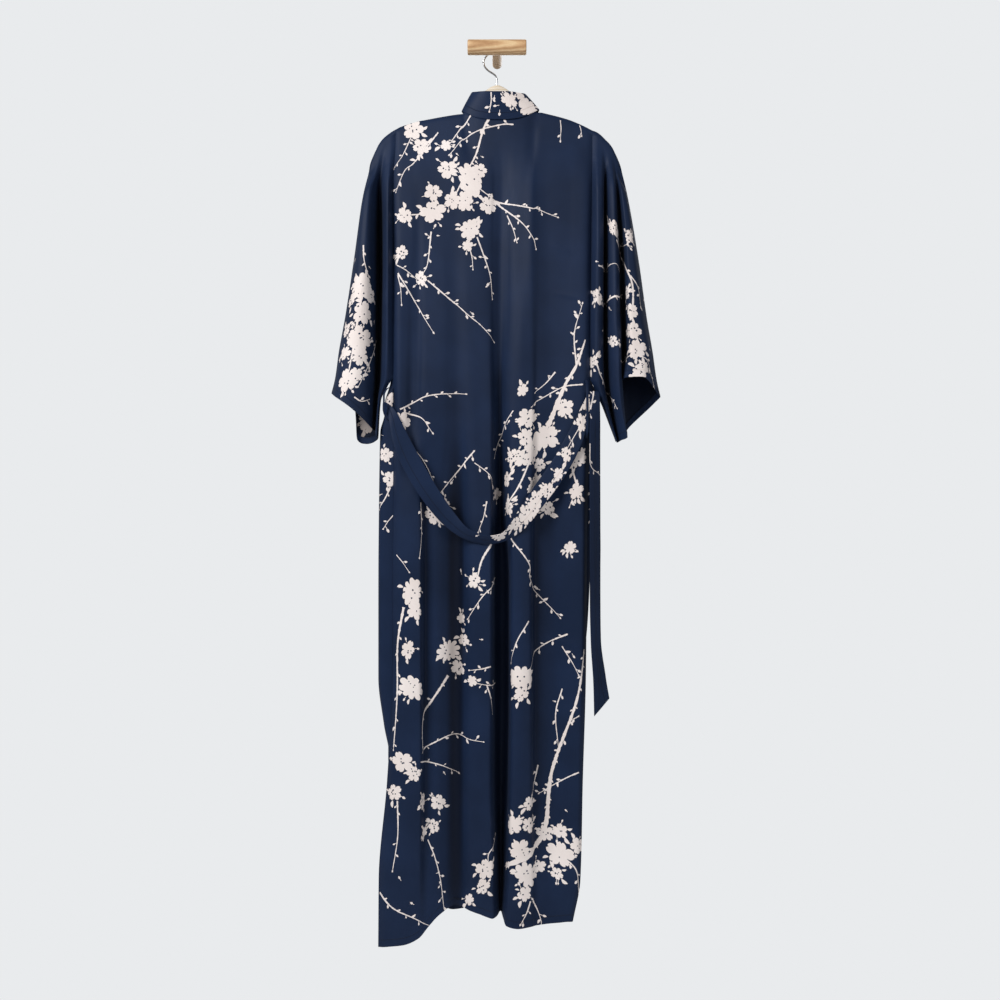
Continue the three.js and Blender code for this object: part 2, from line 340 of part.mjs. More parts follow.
function backPanel() {
  const guides = BACK_TOP.x.map((x, i) => {
    const onShoulder = BACK_TOP.y[i] > -40;
    const top = [x, BACK_TOP.y[i] - (onShoulder ? SEAM : 0), BACK_TOP.z[i]];
    const drops = onShoulder ? SEEN_DROPS : [[8, BACK_TOP.y[i] - 0.6], [24, BACK_TOP.y[i] - 1.5]];
    const hem = [BACK_HEM.x[i], BACK_HEM.y[i], BACK_HEM.z[i]];
    return guide(top, drops, BACK_LEVELS, hem, i);
  });
  return gridShell(clothRows(guides, even(18), 2), CLOTH);
}

function frontPanel(side) {
  const { top, levels } = FRONTS[side];
  const guides = top.x.map((x, i) =>
    guide([x, HANG_Y + SEAM, top.z[i]], WALL_DROPS, levels, null, i),
  );
  return gridShell(clothRows(guides, even(14), 2), CLOTH, side === "left");
}

// A sleeve is two layers that share the shoulder line, the outer contour and, below the armhole, the underarm line.
function sleeve(side) {
  const { top, back, front, hem } = SLEEVES[side];
  const last = top.x.length - 1;
  const line = (levels, foot, y) =>
    top.x.map((x, i) => {
      const topPoint = [x, top.y[i], top.z[i]];
      const edge = i === last;
      const drops = edge ? [] : y;
      return guide(topPoint, drops, levels, [foot.x[i], foot.y[i], foot.z[i]], i);
    });
  const backGuides = line(back, hem.back, SEEN_DROPS);
  const frontGuides = line(front, hem.front, WALL_DROPS);
  const first = backGuides[0];
  const start = first.top - ROW_DROPS.at(-1);
  const split = (UNDERARM_Z[side] - start) / (first.hem - start);
  const shares = [0.13, 0.26, 0.38, 0.5, 0.6, 0.7, split, 0.88, 1];
  const armholeRows = ROW_DROPS.length + shares.indexOf(split);
  const backRows = clothRows(backGuides, shares, 2);
  const frontRows = clothRows(frontGuides, shares, 2);
  backRows.forEach((row, j) => {
    frontRows[j][row.length - 1] = row.at(-1);
    if (j === 0) frontRows[0] = row;
    if (j >= armholeRows) frontRows[j][0] = row[0];
  });
  const width = backRows[0].length;
  const points = [...backRows.flat(), ...frontRows.flat()];
  const offset = backRows.length * width;
  const quads = [];
  for (let j = 0; j + 1 < backRows.length; j++)
    for (let i = 0; i + 1 < width; i++) {
      const a = j * width + i;
      const outer = [a, a + width, a + width + 1, a + 1];
      const inner = outer.map((k) => k + offset).reverse();
      quads.push(side === "left" ? outer.reverse() : outer, side === "left" ? inner.reverse() : inner);
    }
  return shell(points, quads, CLOTH);
}

// A ribbon from stations of a middle point and a width vector.
function ribbon(stations, wall, pieces, across) {
  const at = through(stations);
  const rows = Array.from({ length: pieces + 1 }, (_, j) => {
    const [x, y, z, a, b, c] = at((j / pieces) * (stations.length - 1));
    return Array.from({ length: across + 1 }, (_, i) => {
      const t = i / across - 0.5;
      return [x + a * t, y + b * t, z + c * t];
    });
  });
  return gridShell(rows, wall);
}

function collar() {
  const asRibbon = ([a, b, c, d, e, f]) => [(a + d) / 2, (b + e) / 2, (c + f) / 2, d - a, e - b, f - c];
  const stations = [...COLLAR_HALF.slice().reverse(), ...COLLAR_OTHER].map(asRibbon);
  return ribbon(stations, BAND, (stations.length - 1) * 3, 3);
}

function hanger() {
  const at = through(HANGER.x.map((x, i) => [x, HANGER.top[i], HANGER.bottom[i], HANGER.half[i]]));
  const rings = [];
  const around = 12;
  const steps = (HANGER.x.length - 1) * 2;
  for (let j = 0; j <= steps; j++) {
    const [x, top, bottom, half] = at((j / steps) * (HANGER.x.length - 1));
    const mid = (top + bottom) / 2;
    const tall = (top - bottom) / 2;
    for (let i = 0; i < around; i++) {
      const a = (i / around) * 2 * Math.PI;
      const square = (v) => Math.sign(v) * Math.abs(v) ** HANGER_SQUARENESS;
      rings.push([x, HANG_Y + half * square(Math.cos(a)), mid + tall * square(Math.sin(a))]);
    }
  }
  const body = ringSolid(rings.flat(), around, steps);
  const hole = rod(WIRE.diameter / 2 + HOOK_HOLE.slack, HOOK_HOLE.length, 16).rotate([90, 0, 0]).translate([0, HANG_Y, HOOK_HOLE.z]);
  return geometry(body.subtract(hole));
}

function solid(flat, index) {
  const made = new wasm.Manifold(new wasm.Mesh({ numProp: 3, vertProperties: new Float32Array(flat), triVerts: new Uint32Array(index) }));
  return made.volume() < 0 ? solid(flat, index.slice().reverse()) : made;
}

// A closed solid from rings of points that follow one another.
function ringSolid(flat, around, steps) {
  const index = [];
  for (let j = 0; j < steps; j++)
    for (let i = 0; i < around; i++) {
      const a = j * around + i;
      const b = j * around + ((i + 1) % around);
      index.push(a, b, b + around, a, b + around, a + around);
    }
  for (let i = 1; i + 1 < around; i++) {
    index.push(0, i + 1, i);
    index.push(steps * around, steps * around + i, steps * around + i + 1);
  }
  return solid(flat, index);
}

function geometry(manifold) {
  const mesh = manifold.getMesh();
  const flat = [];
  for (let i = 0; i < mesh.numVert; i++) flat.push(...mesh.vertProperties.slice(i * mesh.numProp, i * mesh.numProp + 3));
  return closed(flat, Array.from(mesh.triVerts));
}

// Round wire along a smooth line in the hanger's plane, with flat ends.
function hook() {
  const centre = STEM.diameter / 2 + FIT + WIRE.diameter / 2 - WIRE.radius;
  const line = [];
  for (let a = 50; a <= 170; a += 10) {
    const r = (a * Math.PI) / 180;
    line.push([WIRE.radius * Math.cos(r), centre + WIRE.radius * Math.sin(r)]);
  }
  line.push(...HOOK_TAIL);
  const path = new THREE.CatmullRomCurve3(line.map(([x, z]) => new THREE.Vector3(x, HANG_Y, z)), false, "centripetal");
  const around = 10;
  const steps = 44;
  const flat = [];
  for (let j = 0; j <= steps; j++) {
    const p = path.getPointAt(j / steps);
    const t = path.getTangentAt(j / steps);
    const side = new THREE.Vector3(0, 1, 0);
    const up = new THREE.Vector3().crossVectors(t, side).normalize();
    for (let i = 0; i < around; i++) {
      const a = (i / around) * 2 * Math.PI;
      const q = p.clone().addScaledVector(side, (Math.cos(a) * WIRE.diameter) / 2).addScaledVector(up, (Math.sin(a) * WIRE.diameter) / 2);
      flat.push(q.x, q.y, q.z);
    }
  }
  return geometry(ringSolid(flat, around, steps));
}

// A turned solid about the Y axis from its profile of [radius, distance] pairs.
function turned(profile, segments) {
  const g = new THREE.LatheGeometry(profile.map(([r, d]) => new THREE.Vector2(r, d)), segments);
  const merged = g.toNonIndexed().getAttribute("position");
  const ids = new Map();
  const flat = [];
  const index = [];
  for (let i = 0; i < merged.count; i++) {
    const p = [merged.getX(i), merged.getY(i), merged.getZ(i)];
    const key = p.map((c) => Math.round(c * 1e4)).join();
    if (!ids.has(key)) {
      ids.set(key, flat.length / 3);
      flat.push(...p);
    }
    index.push(ids.get(key));
  }
  const kept = [];
  for (let i = 0; i < index.length; i += 3)
    if (new Set(index.slice(i, i + 3)).size === 3) kept.push(...index.slice(i, i + 3));
  return solid(flat, kept);
}

// A plain round rod about the Y axis, its middle at the origin.
const rod = (radius, length, segments) =>
  turned([[0, -length / 2], [radius, -length / 2], [radius, length / 2], [0, length / 2]], segments);

function pegBar() {
  const r = BAR.diameter / 2;
  const h = BAR.length / 2;
  const bar = turned([[0, -h], [r - 1.5, -h], [r - 0.4, -h + 0.5], [r, -h + 1.6], [r, h - 1.6], [r - 0.4, h - 0.5], [r - 1.5, h], [0, h]], 40).rotate([0, 0, 90]);
  const socket = rod(STEM.diameter / 2 + FIT, 2 * BAR.socket, 32).translate([0, r, 0]);
  return geometry(bar.subtract(socket).translate([0, BAR.y, 0]));
}

function pegStem() {
  const r = STEM.diameter / 2;
  const length = -BAR.y - BAR.diameter / 2 + BAR.socket - FIT;
  return geometry(turned([[0, -length], [r - 0.6, -length], [r, -length + 0.6], [r, 0], [0, 0]], 32));
}

const part = new THREE.Group();
part.name = "kimono_robe_on_peg";

function add(name, geometryOf, finish) {
  const mesh = new THREE.Mesh(geometryOf, finish.clone());
  mesh.name = name;
  part.add(mesh);
}

add("back", backPanel(), FINISH.satin);
add("front_left", frontPanel("left"), FINISH.satin);
add("front_right", frontPanel("right"), FINISH.satin);
add("sleeve_left", sleeve("left"), FINISH.satin);
add("sleeve_right", sleeve("right"), FINISH.satin);
add("collar", collar(), FINISH.satin);
add("belt", ribbon(BELT_LINE, SASH, (BELT_LINE.length - 1) * 2, 3), FINISH.satin);
for (const [name, stations] of Object.entries(LOOPS)) add(name, ribbon(stations, CLOTH, 15, 1), FINISH.satin);
add("hanger_body", hanger(), FINISH.wood);
add("hanger_hook", hook(), FINISH.steel);
add("peg_bar", pegBar(), FINISH.wood);
add("peg_stem", pegStem(), FINISH.wood);

export default part;
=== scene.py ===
"""A long printed satin kimono robe, seen from behind, on a wooden hanger that hangs from a wall peg.

Sizes are millimetres until a mesh is made. +X is to the right as seen, +Y goes into the wall and +Z is up.
The origin is the middle of the peg stem's face on the wall.
"""
import logging
import math
from dataclasses import dataclass, field
from enum import Enum

import bpy
import numpy as np
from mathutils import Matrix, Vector
from mathutils.geometry import delaunay_2d_cdt


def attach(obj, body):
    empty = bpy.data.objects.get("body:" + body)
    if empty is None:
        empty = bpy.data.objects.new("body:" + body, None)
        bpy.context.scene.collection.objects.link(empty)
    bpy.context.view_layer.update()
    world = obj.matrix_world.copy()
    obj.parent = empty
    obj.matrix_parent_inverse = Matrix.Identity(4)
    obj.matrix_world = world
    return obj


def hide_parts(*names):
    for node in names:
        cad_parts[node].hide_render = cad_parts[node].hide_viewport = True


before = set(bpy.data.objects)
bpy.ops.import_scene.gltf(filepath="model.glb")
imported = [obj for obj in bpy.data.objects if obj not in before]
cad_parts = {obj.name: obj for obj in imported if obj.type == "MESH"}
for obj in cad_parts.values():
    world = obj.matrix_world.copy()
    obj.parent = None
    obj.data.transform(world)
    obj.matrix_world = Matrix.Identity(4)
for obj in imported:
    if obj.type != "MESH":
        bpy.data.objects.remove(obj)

log = logging.getLogger("robe")
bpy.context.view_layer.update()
MM = 0.001
TAU = 2 * math.pi

# The photograph's view: where the camera stands and its focal length in the picture's pixels
EYE = (5.0, -2100.0, -755.0)
FOCAL_PX = 1211.0
PICTURE_PX = 1000.0

# Driving sizes
HANG_Y = -36.0
FRONT_HEM_Z = -1455.0
BAND = 2.0
SASH = 1.6
TAPE = 1.2
HEM_DEPTH = 13.0
CUFF_HEM_DEPTH = 11.0
# A hem's rows of points: shares of its half turn, then shares of its depth
HEM_TURNS = (0.25, 0.5, 0.75, 1.0)
HEM_SHARES = (0.5, 1.0)
HEM_ROWS = len(HEM_TURNS) + len(HEM_SHARES)
# Room between hard pieces that carry one another
FIT_GAP = 0.3
# How far a seam edge may be drawn to meet its neighbour
SEAM_REACH = 9.0
# Half the width of a fold of the cloth, in grid places
FOLD_REACH = 9
BAR_LENGTH, BAR_DIAMETER, BAR_Y, SOCKET = 98.0, 25.0, -80.0, 12.0
STEM_DIAMETER = 16.0
WIRE_DIAMETER, HOOK_RADIUS = 3.0, 24.0
BACK_DROPS = ((1.6, -41.5), (8.0, -45.2), (24.0, -47.0))
FRONT_DROPS = ((1.6, -30.5), (8.0, -26.8), (24.0, -25.0))
YOKE_DROP = 55.0
# Width of each front panel that shows beside the back, from its side seam
SEEN_STRIP = 40.0
# The back's top edge is sewn to the neckband where it lies further out than this
NECK_Y = -40.0
# How far that part of the edge is carried up and back behind the neckband
TUCK_RISE, TUCK_BACK = 4.0, 1.5
# How many times deeper the folds' valleys get than between the guide lines
BACK_VALLEYS, SLEEVE_VALLEYS = 2.2, 1.9
# How far the back's long edges are drawn back into a groove
SEAM_GROOVE = 2.6
# Levels nearer than this to a guide line's top or hem are left out of it
TOP_CLEAR, HEM_CLEAR = 30.0, 20.0
# Half the length of the neckband that keeps the print that the photograph shows
NECK_SHOWN = 190.0
# How far off a cloth a motif's middle may lie and still be cut into it
PRINT_MARGIN = 25.0


class Side(Enum):
    """The robe's two sides as seen from behind."""

    LEFT = "left"
    RIGHT = "right"


# Lowest point of each armhole
UNDERARM_Z = {Side.LEFT: -550.0, Side.RIGHT: -555.0}
# Seeds of each side's ripples, the print that shows and the print that doesn't
FRONT_SEEDS = {Side.LEFT: (21, 31, 33), Side.RIGHT: (22, 32, 34)}
SLEEVE_SEEDS = {Side.LEFT: (41, 51, 61), Side.RIGHT: (42, 52, 62)}

# Back panel: 20 guide lines from the left seam to the right seam, at levels down the cloth
BACK_TOP = dict(
    x=[-172.1, -161, -144, -131, -119, -96, -63, -53, -28, -10, 4, 17, 30, 46, 63, 73.5, 89, 122, 146, 161.7],
    z=[-123.3, -118, -112.5, -109, -107, -102.5, -97.6, -101, -110.5, -112.6,
       -113, -112.8, -111.8, -108, -99.5, -94.8, -98, -107, -117, -125],
    y=[-36, -36, -36, -36, -36, -36, -36, -45.5, -51.5, -52.5,
       -52.5, -52.5, -52, -50.5, -45.5, -36, -36, -36, -36, -36],
)
BACK_LEVELS = [
    dict(z=-222, x=[-175.4, -163.3, -144.8, -131.3, -119.5, -96.0, -67.0, -37.1, -13.5, -3.4,
                    6.7, 16.8, 28.6, 43.6, 57.0, 68.2, 89.1, 122.8, 146.4, 160.1],
         y=[-58, -62, -62, -62, -62, -62, -62, -62, -60, -57,
            -56, -58, -62, -65, -67, -65, -63, -62, -62, -58]),
    dict(z=-355, x=[-174.5, -162.2, -144.0, -130.7, -118.9, -95.5, -68.7, -36.8, -16.8, -5.1,
                    5.0, 16.8, 28.4, 43.4, 56.7, 68.5, 88.7, 122.2, 143.9, 157.7],
         y=[-68, -75, -73, -71, -72, -72, -71, -73, -70, -65,
            -62, -66, -73, -77, -80, -76, -73, -73, -74, -68]),
    dict(z=-488, x=[-174.0, -161.6, -143.7, -132.1, -118.5, -95.1, -68.5, -36.7, -15.0, -5.1,
                    5.0, 15.0, 26.7, 41.6, 56.6, 66.7, 88.5, 121.8, 143.3, 155.6],
         y=[-74, -82, -76, -75, -79, -80, -78, -81, -78, -70,
            -66, -72, -81, -86, -86, -81, -78, -80, -82, -74]),
    dict(z=-622, x=[-173.8, -161.3, -143.6, -133.5, -119.9, -94.9, -68.4, -36.6, -11.6, -3.4,
                    5.0, 13.4, 24.9, 39.9, 56.5, 66.7, 88.4, 121.5, 143.0, 155.3],
         y=[-76, -86, -78, -79, -83, -83, -79, -85, -84, -71,
            -66, -76, -87, -90, -88, -82, -80, -84, -87, -77]),
    dict(z=-755, x=[-173.7, -162.8, -142.6, -129.4, -120.1, -98.6, -68.6, -38.2, -11.6, -3.4,
                    5.0, 13.4, 23.2, 38.1, 54.7, 65.0, 88.5, 121.5, 141.2, 152.0],
         y=[-77, -88, -92, -91, -80, -77, -73, -88, -90, -70,
            -61, -72, -94, -97, -93, -80, -78, -85, -88, -77]),
    dict(z=-888, x=[-175.3, -164.2, -142.2, -127.4, -120.1, -98.6, -68.7, -38.1, -11.6, -3.4,
                    8.4, 18.4, 24.9, 39.7, 54.6, 63.4, 88.5, 121.4, 141.2, 150.3],
         y=[-78, -91, -97, -96, -80, -77, -72, -92, -95, -68,
            -58, -66, -96, -101, -97, -80, -78, -86, -89, -78]),
    dict(z=-1055, x=[-175.3, -164.1, -142.1, -127.3, -120.1, -98.6, -68.7, -38.1, -11.6, -3.4,
                     8.4, 18.4, 24.9, 39.7, 54.6, 63.4, 88.5, 121.4, 137.8, 148.5],
         y=[-78, -92, -98, -97, -80, -77, -72, -92, -95, -68,
            -58, -66, -96, -101, -97, -80, -78, -86, -89, -79]),
    dict(z=-1222, x=[-183.6, -170.8, -142.1, -127.3, -120.0, -98.5, -68.6, -38.1, -13.2, -3.4,
                     6.7, 16.8, 23.2, 38.0, 54.6, 63.3, 88.4, 118.1, 134.5, 143.3],
         y=[-79, -92, -98, -97, -82, -78, -73, -92, -95, -69,
            -58, -67, -96, -101, -97, -82, -79, -86, -89, -82]),
    dict(z=-1388, x=[-197.3, -180.5, -150.4, -129.0, -119.6, -98.3, -68.5, -38.2, -8.3, -0.0,
                     6.7, 13.4, 19.9, 38.1, 56.4, 66.5, 88.3, 114.7, 129.5, 138.9],
         y=[-84, -94, -98, -97, -88, -82, -76, -90, -93, -75,
            -63, -76, -94, -98, -94, -86, -83, -87, -90, -86]),
]
BACK_HEM = dict(
    x=[-197.7, -180.5, -152.1, -129.0, -114.5, -94.9, -68.5, -38.2, -8.3, -0.0,
       5.8, 10.0, 14.9, 34.8, 54.7, 66.5, 84.8, 104.7, 117.9, 126.3],
    y=[-88, -94, -97, -96, -90, -83, -77, -87, -90, -80, -70, -80, -92, -96, -93, -88, -86, -88, -90, -88],
    z=[-1498, -1495, -1491, -1480, -1464, -1445, -1433, -1440, -1450, -1449,
       -1446, -1452, -1461, -1465, -1463, -1462, -1460, -1457, -1455, -1456],
)

# Front panels: 10 guide lines from the armhole and side seam to the neckband seam
FRONTS = {
    Side.LEFT: dict(
        top=dict(x=[-172.1, -168, -162, -154, -144, -128, -110, -92, -75, -59],
                 z=[-123.3, -121, -118.3, -115.8, -112.5, -108.5, -105, -101.8, -99.3, -97]),
        levels=[
            dict(z=-219, x=[-176, -172, -165, -156, -145, -128, -111, -93, -76, -58.5],
                 y=[-26, -21, -19, -19, -20, -22, -20, -19, -21, -21]),
            dict(z=-300, x=[-180, -176.5, -170, -160, -147, -129, -111, -93, -76, -58.5],
                 y=[-30, -23, -18, -15, -19, -25, -19, -16, -22, -20]),
            dict(z=-370, x=[-181, -177, -171, -162, -148, -130, -111, -93, -76, -58],
                 y=[-34, -25, -18, -15, -17, -27, -19, -15, -23, -20]),
            dict(z=-450, x=[-181, -178, -172.5, -163.5, -149, -130, -112, -93, -76, -58],
                 y=[-42, -31, -21, -16, -16, -28, -19, -15, -24, -20]),
            dict(z=-505, x=[-179.4, -178.4, -174, -166, -150, -131, -112, -93, -76, -58],
                 y=[-54, -42, -28, -17, -15, -28, -18, -15, -25, -20]),
            dict(z=-550, x=[-175.6, -179, -177.5, -169, -151, -131, -112, -93, -76, -58],
                 y=[-74.4, -61, -41, -19, -15, -28, -18, -15, -25, -20]),
            dict(z=-590, x=[-175.3, -186.8, -190, -175.5, -152, -131, -112, -93, -76, -58],
                 y=[-75.6, -67, -47, -20, -15, -29, -18, -15, -26, -20]),
            dict(z=-608, x=[-175.2, -187.5, -190.4, -176.5, -152.5, -131, -112, -93, -76, -58],
                 y=[-75.8, -67.5, -47, -20, -15, -29, -18, -15, -26, -20]),
            dict(z=-640, x=[-175.2, -193.5, -198.2, -181, -154, -131, -112, -93, -76, -58],
                 y=[-76.2, -67, -48, -20, -15, -29, -18, -15, -26, -20]),
            dict(z=-755, x=[-175.4, -195, -200, -184, -156, -132, -112, -93, -76, -58],
                 y=[-77, -72, -50, -20, -15, -30, -18, -15, -26, -20]),
            dict(z=-888, x=[-176.7, -196, -201, -184, -157, -132, -112, -93, -76, -58],
                 y=[-78, -70, -49, -19, -15, -30, -18, -15, -27, -20]),
            dict(z=-1055, x=[-176.7, -196, -201, -184, -157, -132, -112, -93, -76, -58],
                 y=[-78, -70, -48, -19, -15, -30, -18, -15, -27, -20]),
            dict(z=-1130, x=[-177.4, -188, -192, -180, -156, -132, -112, -93, -76, -58],
                 y=[-78, -70, -50, -19, -15, -30, -18, -15, -27, -20]),
            dict(z=-1222, x=[-174, -178, -177, -168, -150, -130, -112, -93, -76, -58],
                 y=[-62, -52, -38, -18, -15, -29, -18, -15, -27, -20]),
            dict(z=FRONT_HEM_Z, x=[-176, -180, -178, -168, -150, -130, -112, -93, -76, -58],
                 y=[-60, -50, -36, -18, -15, -29, -18, -15, -27, -20]),
        ],
    ),
    Side.RIGHT: dict(
        top=dict(x=[161.7, 158, 152, 145, 137, 124, 111, 98, 85, 72],
                 z=[-125, -123, -120, -116.6, -112.8, -107.8, -103.6, -100.2, -97, -94.6]),
        levels=[
            dict(z=-219, x=[164, 161, 154, 146, 137, 123, 109, 96, 82, 69],
                 y=[-26, -21, -19, -19, -20, -22, -20, -19, -21, -21]),
            dict(z=-300, x=[167.6, 164.5, 158.5, 150, 138, 122, 108, 94, 81, 67],
                 y=[-30, -23, -18, -15, -19, -25, -19, -16, -22, -20]),
            dict(z=-370, x=[168.5, 165, 159, 150.5, 139, 122, 107, 93, 80, 65],
                 y=[-34, -25, -18, -15, -17, -27, -19, -15, -23, -20]),
            dict(z=-450, x=[167.5, 165, 159.8, 151.5, 139, 121, 106, 91, 78, 63],
                 y=[-42, -31, -21, -16, -16, -28, -19, -15, -24, -20]),
            dict(z=-510, x=[164.4, 163.6, 160, 152.5, 139, 121, 105, 91, 77, 62],
                 y=[-55, -43, -29, -17, -15, -28, -18, -15, -25, -20]),
            dict(z=-555, x=[157.3, 160, 159, 153, 139, 121, 105, 91, 77, 61.5],
                 y=[-74.8, -60, -40, -18, -15, -28, -18, -15, -25, -20]),
            dict(z=-575, x=[156.9, 166.6, 169.6, 156, 139, 121, 105, 91, 77, 61],
                 y=[-75.6, -62, -44, -18.5, -15, -28.5, -18, -15, -25.5, -20]),
            dict(z=-622, x=[156.4, 164, 165, 154, 138, 120, 104, 90, 76, 60],
                 y=[-77, -66, -46, -19, -15, -29, -18, -15, -26, -20]),
            dict(z=-755, x=[153.2, 161, 162, 152, 137, 119, 103, 89, 75, 59],
                 y=[-77, -66, -46, -19, -15, -30, -18, -15, -26, -20]),
            dict(z=-888, x=[151.5, 156, 156, 147, 134, 118, 102, 88, 74, 58],
                 y=[-78, -68, -48, -19, -15, -30, -18, -15, -27, -20]),
            dict(z=-960, x=[150.4, 152, 151, 143, 131, 116, 101, 87, 73, 58],
                 y=[-78.5, -70, -50, -19, -15, -30, -18, -15, -27, -20]),
            dict(z=-1055, x=[139, 142, 140, 134, 124, 112, 99, 86, 72, 58],
                 y=[-62, -54, -38, -18, -15, -29, -18, -15, -27, -20]),
            dict(z=-1222, x=[130, 133, 131, 126, 118, 108, 97, 85, 72, 58],
                 y=[-60, -50, -36, -18, -15, -29, -18, -15, -27, -20]),
            dict(z=FRONT_HEM_Z, x=[112, 115, 114, 110, 105, 98, 90, 80, 69, 58],
                 y=[-60, -50, -36, -18, -15, -28, -18, -15, -26, -20]),
        ],
    ),
}

